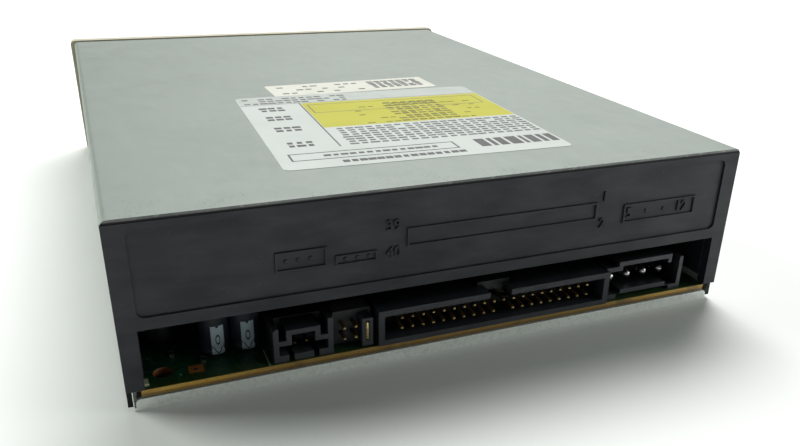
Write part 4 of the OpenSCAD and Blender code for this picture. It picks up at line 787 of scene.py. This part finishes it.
def floor():
    """A pale sheet that the drive lies on."""
    f = Finish("pale floor", (0.86, 0.87, 0.855), 0.6)
    f.shade(f.span(f.grain(400, 2), 0.3, 0.7), (0.84, 0.85, 0.835))
    f.relief(f.grain(4, 3), 0.01)
    work = bmesh.new()
    bmesh.ops.create_grid(work, x_segments=8, y_segments=8, size=6)
    mesh = bpy.data.meshes.new("floor sheet")
    work.to_mesh(mesh)
    work.free()
    mesh.transform(Matrix.Translation((0, 0, -0.02 * MM)))
    mesh.materials.append(f.material)
    sheet = linked("floor_sheet", mesh)


def backdrop():
    """A pale wall all round the floor, seen from low down; it gives and takes no light."""
    wall = bpy.data.materials.new("pale backdrop")
    wall.use_nodes = True
    tree = wall.node_tree
    tree.nodes.remove(tree.nodes["Principled BSDF"])
    glow = tree.nodes.new("ShaderNodeEmission")
    glow.inputs["Color"].default_value = (0.93, 0.95, 0.93, 1)
    tree.links.new(glow.outputs[0], tree.nodes["Material Output"].inputs["Surface"])
    work = bmesh.new()
    bmesh.ops.create_cone(work, cap_ends=True, segments=96, radius1=2.6, radius2=2.6, depth=8)
    bmesh.ops.reverse_faces(work, faces=work.faces)
    mesh = bpy.data.meshes.new("backdrop")
    work.to_mesh(mesh)
    work.free()
    mesh.shade_smooth()
    mesh.materials.append(wall)
    thing = linked("backdrop", mesh)
    thing.visible_diffuse = thing.visible_glossy = thing.visible_transmission = thing.visible_shadow = False


def lamp(name, stands, aim, size, power, colour=(1, 1, 1)):
    """An oblong lamp that faces the place it is aimed at."""
    data = bpy.data.lights.new(name, "AREA")
    data.shape = "RECTANGLE"
    data.size, data.size_y = size
    data.energy, data.color = power, colour
    thing = linked(name, data)
    thing.location = stands
    thing.rotation_euler = (Vector(aim) - Vector(stands)).to_track_quat("-Z", "Y").to_euler()


def studio():
    """A bright window behind the drive and a dim room on the camera's side."""
    world = bpy.data.worlds.new("studio")
    world.use_nodes = True
    sky = world.node_tree.nodes["Background"]
    sky.inputs["Color"].default_value = (0.93, 1.0, 0.95, 1)
    sky.inputs["Strength"].default_value = 0.1
    bpy.context.scene.world = world
    bpy.context.scene.view_settings.view_transform = "Standard"
    lamp("window behind", (-0.75, -1.3, 1.85), (0, 0, 0), (1.8, 1.2), 70)
    lamp("wall at the left", (1.25, -0.75, 0.75), (0.1, 0, 0), (0.9, 1.1), 26, (0.955, 1, 0.95))
    lamp("card at the right", (-0.42, 0.3, 0.16), (-0.09, 0.12, 0), (0.25, 0.2), 0.68, (0.93, 1, 0.95))


photo_camera()
floor()
backdrop()
studio()


# Metalwork
def steel_cover():
    """The top cover: a folded galvanised sheet whose sheared edge shows all round."""
    mesh = broken_edges(welded("top_cover"), 0.12)
    for face in mesh.polygons:
        at_end = abs(face.normal.y) > 0.9
        at_foot = face.normal.z < -0.9 and face.center.z < 3 * MM
        face.material_index = 1 if at_end or at_foot else 0
    fitted("steel_cover", mesh, "case", [FINISHES["cover_steel"], SHEARED], ["top_cover"])


# The label and the sticker, each placed by its middle (u, d) and its turn in degrees
LABEL_MIDDLE, LABEL_TURN = (73.7, 49.8), 1.9
STICKER_MIDDLE, STICKER_TURN = (76.6, 91.5), -0.9
film = 0.08
print_low, tint_high, print_high = film - 0.01, film + 0.006, film + 0.012

# Rows of print: finish, middle x and y, rows, blocks in a row, row pitch, block pitch, block height,
# share of gaps, seed of the draws, and where rows cross the height of the ink
LABEL_ROWS = [
    (BLACK, -6.6, -30.6, 1, 15, 2.0, 2.0, 1.7, 0.06, 4),
    (BLACK, -10.6, -25.4, 1, 14, 2.0, 2.0, 1.3, 0.06, 5),
    (GREY, 9.2, -11.2, 8, 20, 1.95, 2.55, 1.1, 0.05, 6),
    (OLIVE, 11.4, 8.6, 9, 7, 2.3, 2.4, 1.25, 0.1, 7),
    (OLIVE, 11.4, 7.4, 5, 15, 4.2, 2.4, 0.8, 0.35, 13, 0.026),
    (OLIVE, 11.4, 17.3, 2, 6, 2.6, 2.6, 1.5, 0.05, 8, 0.032),
    (GREY, -19.0, 28.6, 3, 13, 2.4, 2.3, 1.2, 0.12, 9),
    (BLACK, -27.4, -15.3, 2, 3, 2.5, 2.3, 1.6, 0.0, 20),
    (BLACK, -27.4, -1.5, 2, 3, 2.5, 2.3, 1.6, 0.0, 21),
    (BLACK, -27.4, 9.4, 2, 3, 2.5, 2.3, 1.6, 0.0, 22),
    (BLACK, -27.4, 19.0, 2, 3, 2.5, 2.3, 1.6, 0.0, 23),
]
STICKER_ROWS = [
    (GREY, 14.4, 0.6, 5, 7, 1.9, 2.4, 1.5, 0.08, 11),
    (GREY, -9.8, 0, 3, 10, 3.9, 2.6, 1.2, 0.4, 12),
]


def on_cover(mesh, middle, turn):
    """Lays a mesh drawn across (x to the image's right, y away from the camera) on the cover."""
    u, d = middle
    turned = Matrix.Rotation(math.radians(180 - turn), 4, "Z")
    mesh.transform(Matrix.Translation(spot(u, d, cover_top)) @ turned)
    return mesh


def merged(name, *meshes):
    """Several meshes as one, each keeping its finish."""
    work = bmesh.new()
    finishes = []
    for mesh in meshes:
        first = len(work.faces)
        work.from_mesh(mesh)
        work.faces.ensure_lookup_table()
        for face in work.faces[first:]:
            finish = mesh.materials[face.material_index]
            if finish not in finishes:
                finishes.append(finish)
            face.material_index = finishes.index(finish)
    mesh = bpy.data.meshes.new(name)
    work.to_mesh(mesh)
    work.free()
    return mesh, finishes


def flat(name, finish, draw):
    """A mesh in one finish, of what a function draws into a bmesh."""
    work = bmesh.new()
    draw(work)
    mesh = mesh_from(work, name)
    mesh.materials.append(finish)
    return mesh


def shifted(mesh, x, y, z):
    """The mesh moved by so many millimetres."""
    mesh.transform(Matrix.Translation(Vector((x, y, z)) * MM))
    return mesh


def print_rows(finish, x, y, rows, blocks, row_pitch, block_pitch, high, gaps, seed, ink=0.02):
    """One set of printed rows on a film."""
    sizes = {"Rows": rows, "Row pitch": row_pitch * MM, "Blocks": blocks, "Block pitch": block_pitch * MM,
             "Block height": high * MM, "Gap share": gaps, "Ink": ink * MM, "Seed": seed}
    return shifted(PRINTED_ROWS.laid_on(bpy.data.meshes.new("start"), finish, sizes), x, y, film)


def rating_label():
    """The label film with its yellow panel, rules and lines of print too small to read."""
    def sheet(w):
        slab(w, rounded(-35.15, -33.95, 35.15, 33.95, 1.8), 0, film)

    def strip(w):
        slab(w, rounded(-35.0, 25.0, 35.0, 33.8, 1.2), print_low, tint_high)

    def panel(w):
        slab(w, oblong(-18.4, -2.4, 34.9, 24.0), print_low, tint_high)

    def rules(w):
        slab(w, oblong(-19.0, -19.3, -18.6, 24.6), print_low, print_high)
        slab(w, oblong(-35.0, 24.4, 35.0, 24.7), print_low, print_high)
        frame_of(w, -17.2, 12.6, 32.6, 22.0, 0.3, print_low, print_high)

    def dark(w):
        frame_of(w, -32.2, -28.1, 7.9, -22.7, 0.45, print_low, print_high)
        x = 13.4
        for wide in (2.6, 1.2, 2.2, 3.0, 1.0, 2.4, 1.4, 2.0):
            slab(w, oblong(x, -28.6, x + wide, -22.4), print_low, print_high)
            x += wide + 0.75

    parts = [flat("sheet", LABEL, sheet), flat("strip", PALE, strip), flat("panel", YELLOW, panel),
             flat("rules", GREY, rules), flat("dark", BLACK, dark)]
    mesh, finishes = merged("label", *parts, *[print_rows(*row) for row in LABEL_ROWS])
    fitted("rating_label", on_cover(mesh, LABEL_MIDDLE, LABEL_TURN), "case", finishes)


def small_sticker():
    """The white sticker beyond the label."""
    sheet = flat("sheet", LABEL_WHITE, lambda w: slab(w, rounded(-25.4, -7.3, 25.4, 7.3, 0.6), 0, film))
    mesh, finishes = merged("sticker", sheet, *[print_rows(*row) for row in STICKER_ROWS])
    fitted("small_sticker", on_cover(mesh, STICKER_MIDDLE, STICKER_TURN), "case", finishes)


# The rear panel's numbers: text, place u and z, height
NUMBERS = [("1", 107.9, 33.15, 2.4), ("2", 107.9, 26.6, 2.4), ("39", 55.8, 33.0, 2.4),
           ("40", 55.9, 27.0, 2.4), ("5", 115.3, 28.2, 2.6), ("12", 130.6, 28.2, 2.6)]
# The round pips beside them: place u and z
PIPS = [(33.0, 28.2), (35.54, 28.2), (38.08, 28.2), (45.4, 26.85), (47.94, 26.85), (50.48, 26.85),
        (120.4, 28.2), (125.5, 28.2)]
digit_share = 0.73
pip_r = 0.55


def panel_numbers():
    """The moulded numbers beside the sockets, which stand out of the panel's field."""
    meshes = []
    for text, u, z, high in NUMBERS:
        curve = bpy.data.curves.new("number " + text, "FONT")
        curve.body = text
        curve.size = high * MM / digit_share
        curve.align_x, curve.align_y = "CENTER", "CENTER"
        curve.extrude = 0.2 * MM
        curve.bevel_depth = 0.06 * MM
        curve.offset = -0.02 * MM
        mesh = settled(linked("blank", curve))
        upright = Matrix(((-1, 0, 0), (0, 0, 1), (0, 1, 0))).to_4x4()
        mesh.transform(Matrix.Translation(spot(u, field_deep - 0.12, z)) @ upright)
        mesh.materials.clear()
        mesh.materials.append(FINISHES["black_plastic"])
        meshes.append(mesh)
    work = bmesh.new()
    for u, z in PIPS:
        ball = bmesh.ops.create_uvsphere(work, u_segments=12, v_segments=8, radius=pip_r * MM)
        pressed = Matrix.Translation(spot(u, field_deep, z)) @ Matrix.Diagonal((1, 0.5, 1, 1))
        bmesh.ops.transform(work, verts=ball["verts"], matrix=pressed)
    pips = mesh_from(work, "pips")
    pips.shade_smooth()
    pips.materials.append(FINISHES["black_plastic"])
    mesh, finishes = merged("numbers", *meshes, pips)
    fitted("panel_numbers", mesh, "case", finishes)


# Pins
def path_mesh(points):
    """A string of edges through points (y, z) in millimetres, at x nought."""
    mesh = bpy.data.meshes.new("path")
    edges = [(i, i + 1) for i in range(len(points) - 1)]
    mesh.from_pydata([Vector((0, y, z)) * MM for y, z in points], edges, [])
    return mesh


def bent_pins(x, tip_d, tail_d, z, sizes):
    """A row of bent pins whose first stands at x: tips towards the rear, tails down into the board."""
    tip_y, tail_y = rear_y - tip_d, rear_y - tail_d + pin_wide / 2
    path = path_mesh([(tip_y, z), (tip_y - 0.35, z), (tail_y, z), (tail_y, board_top - 0.4)])
    mesh = PIN_ROW.laid_on(path, FINISHES["gold_pins"], sizes)
    bright = len(mesh.materials) - 1
    mesh.materials.append(SHADED_GOLD)
    for face in mesh.polygons:
        # the shafts behind each tip take the gold in painted shade, for the dark inside the sockets
        face.material_index = bright + int(face.center.y < (tip_y - 0.36) * MM)
    mesh.transform(Matrix.Translation((x * MM, 0, 0)))
    return mesh


def gold_pins():
    """The pins of the data, audio and jumper sockets, each row from its end at the audio side."""
    data_x, audio_x, jumper_x, shell_back = -9.5, 36.9, 25.3, 9
    data = [bent_pins(data_x + 9.5 * pin_pitch, 0.9, tail, z, {"Left out": gone})
            for z, tail, gone in ((7.92, 10.6, 10), (10.46, 13.1, -1))]
    mesh, finishes = merged("data pins", *data)
    fitted("data_pins", mesh, "case", finishes, ["ide_pins"])
    audio = bent_pins(audio_x + 1.5 * pin_pitch, 3.8, shell_back + 2 * pin_wide, 7.4, {"Pins": 4})
    mesh, finishes = merged("audio pins", audio)
    fitted("sound_pins", mesh, "case", finishes, ["audio_pins"])
    block = [bent_pins(jumper_x + pin_pitch, 1.0, shell_back + (r + 1) * 2 * pin_wide, z, {"Pins": 3})
             for r, z in enumerate((7.7, 10.3))]
    mesh, finishes = merged("jumper pins", *block)
    fitted("setting_pins", mesh, "case", finishes, ["jumper_pins"])


def cap_blade():
    """The contact blade that shows in the jumper cap's slot."""
    low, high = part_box("jumper_cap")
    middle = (low.x + high.x) / 2 / MM
    bowed = ((6.5, 0.12, 1.0), (6.9, 0.24, 0.94), (9.2, 0.28, 0.91), (10.6, 0.2, 0.95), (11.0, 0.1, 1.02))
    levels = []
    for z, half, deep in bowed:
        y = rear_y - deep
        levels.append((z, rounded(middle - half, y - 0.5, middle + half, y, 0.05, 2)))
    work = bmesh.new()
    lofted(work, levels)
    mesh = mesh_from(work, "blade")
    mesh.shade_smooth()
    fitted("cap_blade", mesh, "case", [FINISHES["gold_pins"]])


# The circuit board, with places given as u and d
HOLE_MIDDLE, hole_reach = (7.6, 6.2), 2.4
CHIP_ENDS = ((15.9, 7.5), (15.9, 9.0), (22.5, 17.0), (22.5, 18.6), (10.0, 12.0), (10.0, 13.6))
CHIP_CORES = ((15.9, 8.25), (22.5, 17.8), (10.0, 12.8))


def circuit_board():
    """The main board: green mask above and below, bare amber laminate round its edges and holes."""
    mesh = welded("main_board")
    hole = spot(*HOLE_MIDDLE, 0)
    for face in mesh.polygons:
        in_hole = math.hypot(face.center.x - hole.x, face.center.y - hole.y) < hole_reach * MM
        face.material_index = 0 if abs(face.normal.z) > 0.5 else 2 if in_hole else 1
    fitted("circuit_board", broken_edges(mesh, 0.06, 1), "case",
           [FINISHES["board_laminate"], LAMINATE, DRILLED], ["main_board"])


def board_area(u0, d0, u1, d1):
    """The outline of a rectangle on the board."""
    return oblong(half_w - u0, rear_y - d0, half_w - u1, rear_y - d1)


def board_block(work, u, d, wide, long, high, r):
    """Adds a small block with rounded corners that stands on the board."""
    x, y = half_w - u, rear_y - d
    outline = rounded(x - wide / 2, y - long / 2, x + wide / 2, y + long / 2, r, 2)
    slab(work, outline, board_top, board_top + high)


def board_trimmings():
    """What lies on the board near its rear edge: a pad, small parts, a printed line and drops of solder, and a
    black disc of painted shade in the pad's hole.
    """
    def pad(w):
        slab(w, board_area(15.6, 6.6, 12.5, 3.7), board_top - 0.02, board_top + 0.05)

    # painted shade: a thin black disc on the pad where its hole would look dark
    def hole_shade_disc(w):
        turned_shape(w, disc(0.45, board_top + 0.03, board_top + 0.06), half_w - 14.05, rear_y - 5.1, 16)

    def parts(w):
        board_block(w, 4.05, 3.0, 0.9, 2.0, 0.55, 0.1)

    def ends(w):
        for u, d in CHIP_ENDS:
            board_block(w, u, d, 0.9, 0.6, 0.5, 0.1)

    def cores(w):
        for u, d in CHIP_CORES:
            board_block(w, u, d, 0.84, 1.0, 0.46, 0.08)

    def line(w):
        slab(w, board_area(28.75, 7.7, 28.5, 0.9), board_top - 0.01, board_top + 0.03)

    def bed(w):
        slab(w, board_area(29, 22, 4, 2), board_top - 0.02, board_top)

    drops = SOLDER_DROPS.laid_on(upper_faces(flat("bed", MASK_DROP, bed)), MASK_DROP)
    mesh, finishes = merged(
        "trimmings", flat("copper", COPPER, pad), flat("parts", CREAM, parts),
        flat("ends", FINISHES["tin_pins"], ends), flat("cores", FINISHES["chip_resin"], cores),
        flat("line", CREAM, line), drops, flat("hole", BLACK, hole_shade_disc))
    fitted("board_trimmings", mesh, "case", finishes)


def upper_faces(mesh):
    """Only those faces of a mesh that look up."""
    work = bmesh.new()
    work.from_mesh(mesh)
    bmesh.ops.recalc_face_normals(work, faces=work.faces)
    bmesh.ops.delete(work, geom=[f for f in work.faces if f.normal.z < 0.5], context="FACES")
    work.to_mesh(mesh)
    work.free()
    return mesh


def capacitors():
    """Two electrolytic cans in shrink sleeves, the stripe down the side that faces the rear."""
    work = bmesh.new()
    uv = work.loops.layers.uv.new("stripe")
    y, low, high = rear_y - 11.6, board_top + 0.2, board_top + 11.2
    profile = [
        (0, low), (can_r - 0.55, low), (can_r - 0.1, low + 0.25), (can_r, low + 0.6), (can_r, low + 1.3),
        (can_r - 0.25, low + 1.6), (can_r - 0.25, low + 1.8), (can_r, low + 2.1), (can_r, high - 0.5),
        (can_r - 0.15, high - 0.15), (can_r - 0.5, high), (can_r - 0.8, high - 0.02),
        (can_r - 0.85, high - 0.3), (0, high - 0.3)]
    for x, facing in ((53.9, 96), (47.3, 91)):
        for face in turned_shape(work, profile, x, y, 64):
            middle = face.calc_center_median() / MM
            if math.hypot(middle.x - x, middle.y - y) < can_r - 0.82 and middle.z > high - 1:
                face.material_index = 1
            for loop in face.loops:
                at = loop.vert.co / MM
                turn = (math.degrees(math.atan2(at.y - y, at.x - x)) - facing + 180) % 360 - 180
                round_the_can = math.radians(turn) * can_r
                loop[uv].uv = (round_the_can / sleeve_span + 0.5, (at.z - low) / sleeve_span)
    mesh = mesh_from(work, "cans")
    finishes = [FINISHES["capacitor_sleeve"], FINISHES["motor_metal"]]
    fitted("capacitors", mesh, "case", finishes, ["capacitor_cans"])


# The chips: middle x, middle d, half width, half depth
CHIPS = ((20, 60, 12, 12), (-26, 52, 8, 8), (-24, 92, 5, 9), (22, 104, 9, 5), (4, 30, 10, 4))
leg_pitch = 1.3


def chips():
    """Moulded packages with bent legs, a bevelled body and a spot at the first leg."""
    legs, bodies, spots = [], bmesh.new(), bmesh.new()
    leg_sizes = {"Pitch": leg_pitch * MM, "Pin width": 0.4 * MM, "Bend radius": 0.2 * MM, "Tip share": 1.0}
    for x, d, half_x, half_d in CHIPS:
        y = rear_y - d
        sides = [(90, half_x, half_d), (270, half_x, half_d)]
        if half_x == half_d:
            sides += [(0, half_d, half_x), (180, half_d, half_x)]
        for turn, out, half in sides:
            count = int(2 * (half - leg_pitch) / leg_pitch)
            path = path_mesh([(out - 0.3, 1.0), (out + 0.5, 1.0), (out + 0.8, 0.12), (out + 1.28, 0.12)])
            row = PIN_ROW.laid_on(path, FINISHES["tin_pins"], {"Pins": count, **leg_sizes})
            shifted(row, leg_pitch * (count - 1) / 2, 0, 0)
            turned = Matrix.Rotation(math.radians(turn), 4, "Z")
            row.transform(Matrix.Translation(Vector((x, y, board_top)) * MM) @ turned)
            legs.append(row)
        levels = []
        for z, inset in ((0.18, 0.25), (1.0, 0.0), (1.1, 0.0), (1.8, 0.2), (1.9, 0.35)):
            across, along = half_x - inset, half_d - inset
            levels.append((board_top + z, rounded(x - across, y - along, x + across, y + along, 0.3, 2)))
        lofted(bodies, levels)
        round_spot = disc(0.55, board_top + 1.88, board_top + 1.92)
        turned_shape(spots, round_spot, x - half_x + 1.6, y + half_d - 1.6, 20)
    resin, spot_marks = mesh_from(bodies, "bodies"), mesh_from(spots, "spots")
    resin.materials.append(FINISHES["chip_resin"])
    spot_marks.materials.append(GREY)
    mesh, finishes = merged("chips", resin, spot_marks, *legs)
    fitted("chips", mesh, "case", finishes, ["board_chips"])


# Screws, as (radius, height) pairs from the tip to the flat that carries the cross
SUNK_SCREW = [(0, -7), (0.7, -7), (1.15, -6.3), (1.15, -1.0), (2.55, -0.12), (2.55, -0.04), (2.45, 0)]
DOMED_SCREW = [(0, -3.75), (1.0, -3.75), (1.2, -3.5), (1.2, 0), (2.55, 0), (2.6, 0.08), (2.55, 0.4),
               (2.2, 0.72), (1.9, 0.86), (1.6, 0.9)]
WIDE_SCREW = [(0, -6.5), (1.0, -6.5), (1.25, -6.2), (1.25, 0), (2.95, 0), (3.0, 0.08), (2.95, 0.4),
              (2.5, 0.74), (2.1, 0.86), (1.7, 0.9)]


def cross_head(profile, wide, deep, steps=28):
    """A screw on its own axis, head up, with a cross recess of that width and depth."""
    work = bmesh.new()
    turned_shape(work, profile, 0, 0, steps)
    rim = [edge for edge in work.edges if edge.is_boundary]
    arm, reach, top = wide / 6, wide / 2, profile[-1][1]
    cross = [(reach, arm), (arm, arm), (arm, reach), (-arm, reach), (-arm, arm), (-reach, arm),
             (-reach, -arm), (-arm, -arm), (-arm, -reach), (arm, -reach), (arm, -arm), (reach, -arm)]
    mouth, foot = [[work.verts.new(Vector((x * share, y * share, z)) * MM) for x, y in cross]
                   for share, z in ((1, top), (0.55, top - deep))]
    ring = [work.edges.new((mouth[i - 1], mouth[i])) for i in range(len(cross))]
    bmesh.ops.triangle_fill(work, use_beauty=True, edges=rim + ring)
    for i in range(len(cross)):
        work.faces.new((mouth[i - 1], mouth[i], foot[i], foot[i - 1]))
    work.faces.new(foot)
    mesh = mesh_from(work, "cross head")
    mesh.set_sharp_from_angle(angle=math.radians(35))
    return mesh


def screws():
    """The case screws under the pan, and the screws of the board and the deck."""
    sunk = cross_head(SUNK_SCREW, 2.6, 0.7)
    sunk.transform(Matrix.Rotation(math.pi, 4, "X"))
    pitches = {"Pitch across": 128 * MM, "Pitch along": 160 * MM}
    mesh = COPIES.laid_on(sunk, FINISHES["screw_steel"], pitches)
    mesh.transform(Matrix.Translation(place(0, 102, 0)))
    fitted("pan_screws", mesh, "case", [], ["case_screws"])
    pair = []
    for x, d, turn in ((-40, 108, 0.5), (40, 34, 1.1)):
        mesh = cross_head(DOMED_SCREW, 2.3, 0.6)
        mesh.transform(Matrix.Translation(place(x, d, board_top)) @ Matrix.Rotation(turn, 4, "Z"))
        mesh.materials.append(FINISHES["screw_steel"])
        pair.append(mesh)
    mesh, finishes = merged("board screws", *pair)
    fitted("board_screws_made", mesh, "case", finishes, ["board_screws"])
    pitches = {"Pitch across": 92 * MM, "Pitch along": 86 * MM}
    mesh = COPIES.laid_on(cross_head(WIDE_SCREW, 2.5, 0.6), FINISHES["screw_steel"], pitches)
    mesh.transform(Matrix.Translation(place(0, 97, 23)))
    fitted("deck_screws", mesh, "deck", [], ["damper_screws"])


# Turned pieces of the deck, as (radius, height) pairs from axis to axis
TURNTABLE = [
    (0, 15), (1.1, 15), (1.2, 15.12), (1.2, 23), (5.8, 23), (6, 23.2), (6, 27.9), (6.2, 28.1), (15.7, 28.1),
    (16, 28.4), (16, 29.9), (15.8, 30.15), (15.3, 30.2), (15.2, 30.28), (14.9, 30.3), (10.9, 30.3),
    (10.6, 30.26), (10.5, 30.15), (7.5, 30.15), (7.4, 30.25), (7.4, 31.3), (7.2, 31.6), (6.3, 32.25),
    (5.9, 32.4), (3.2, 32.4), (3.0, 32.3), (2.9, 31.9), (1.3, 31.9), (1.2, 31.95), (1.15, 32.35),
    (1.05, 32.4), (0, 32.4)]
SPINDLE_CAN = [
    (0, 13.5), (3.2, 13.5), (3.5, 13.7), (3.5, 14.0), (11.2, 14.0), (11.5, 13.8), (12.4, 13.8), (12.8, 14.1),
    (13, 14.6), (13, 17.6), (12.7, 17.8), (12.7, 18.1), (13, 18.3), (13, 20.2), (12.8, 20.45), (5.1, 20.45),
    (5, 20.6), (5, 22.4), (4.8, 22.6), (1.35, 22.6), (1.27, 22.5), (1.27, 14.8), (0, 14.8)]
LENS = [
    (0, 26.6), (2.4, 26.6), (2.4, 26.95), (2.3, 27.05), (1.95, 27.08), (1.85, 27.12), (1.6, 27.3),
    (1.2, 27.46), (0.7, 27.57), (0.3, 27.6), (0, 27.6)]
spindle_d, lens_d = 125.6, 101.6


def spun(name, node, profile, d, steps=64, bands=()):
    """A turned piece in place of a solid. A band's finish lies between two radii, above a height."""
    work = bmesh.new()
    finishes = [FINISHES[slot_of[node]]] + [band[0] for band in bands]
    y = rear_y - d
    for face in turned_shape(work, profile, 0, y, steps):
        middle = face.calc_center_median() / MM
        away = math.hypot(middle.x, middle.y - y)
        for k, (finish, near, far, low) in enumerate(bands):
            if near < away < far and middle.z > low:
                face.material_index = k + 1
    mesh = mesh_from(work, name)
    mesh.set_sharp_from_angle(angle=math.radians(30))
    fitted(name, mesh, body_of[node], finishes, [node])


def deck_turnings():
    """The turntable with its rubber ring, the spindle motor's rolled can and the curved lens."""
    spun("disc_seat", "turntable", TURNTABLE, spindle_d,
         bands=[(FINISHES["rubber"], 10.4, 15.35, 30.1), (FINISHES["bright_metal"], 0, 1.25, 31.8)])
    spun("spindle_can", "spindle_motor", SPINDLE_CAN, spindle_d)
    spun("curved_lens", "objective_lens", LENS, lens_d, 48, bands=[(FINISHES["rubber"], 1.9, 3, 26)])


# How far the edges of each solid's own shape are broken, in millimetres
BROKEN = {
    "bottom_cover": 0.12, "main_frame": 0.2, "front_bezel": 0.3, "tray_door": 0.25,
    "ide_shell": 0.15, "power_shell": 0.15, "audio_shell": 0.12, "jumper_cap": 0.12,
    "disc_tray": 0.2, "eject_button": 0.3, "play_button": 0.3, "volume_wheel": 0.1,
    "power_pins": 0.05, "capacitor_seals": 0.1, "board_crystal": 0.25, "ribbon_sockets": 0.2,
    "front_ribbon": 0.03, "front_board": 0.06, "front_switches": 0.15, "volume_control": 0.15,
    "headphone_jack": 0.2, "indicator_led": 0.1, "indicator_lens": 0.15, "loading_motor": 0.3,
    "motor_pulley": 0.08, "drive_belt": 0.15, "pulley_gear": 0.06, "tray_gear": 0.06, "cam_slider": 0.15,
    "deck_frame": 0.2, "traverse_plate": 0.1, "damper_bushes": 0.25, "guide_rods": 0.15, "clamp_puck": 0.2,
    "clamp_yoke": 0.1, "pickup_sled": 0.15, "actuator_yoke": 0.08, "lens_holder": 0.1, "sled_motor": 0.2,
    "sled_pinion": 0.04, "sled_gear": 0.05,
}
for node, width in BROKEN.items():
    dress(node, width)
dress("jumper_header", 0.12, FINISHES["chip_resin"])
dress("clamp_bridge", 0.12, FINISHES["plate_steel"])
cap_blade()
steel_cover()
rating_label()
small_sticker()
panel_numbers()
gold_pins()
circuit_board()
board_trimmings()
capacitors()
chips()
screws()
deck_turnings()

for node, thing in nodes.items():
    thing.data.materials.clear()
    thing.data.materials.append(FINISHES[slot_of[node]])
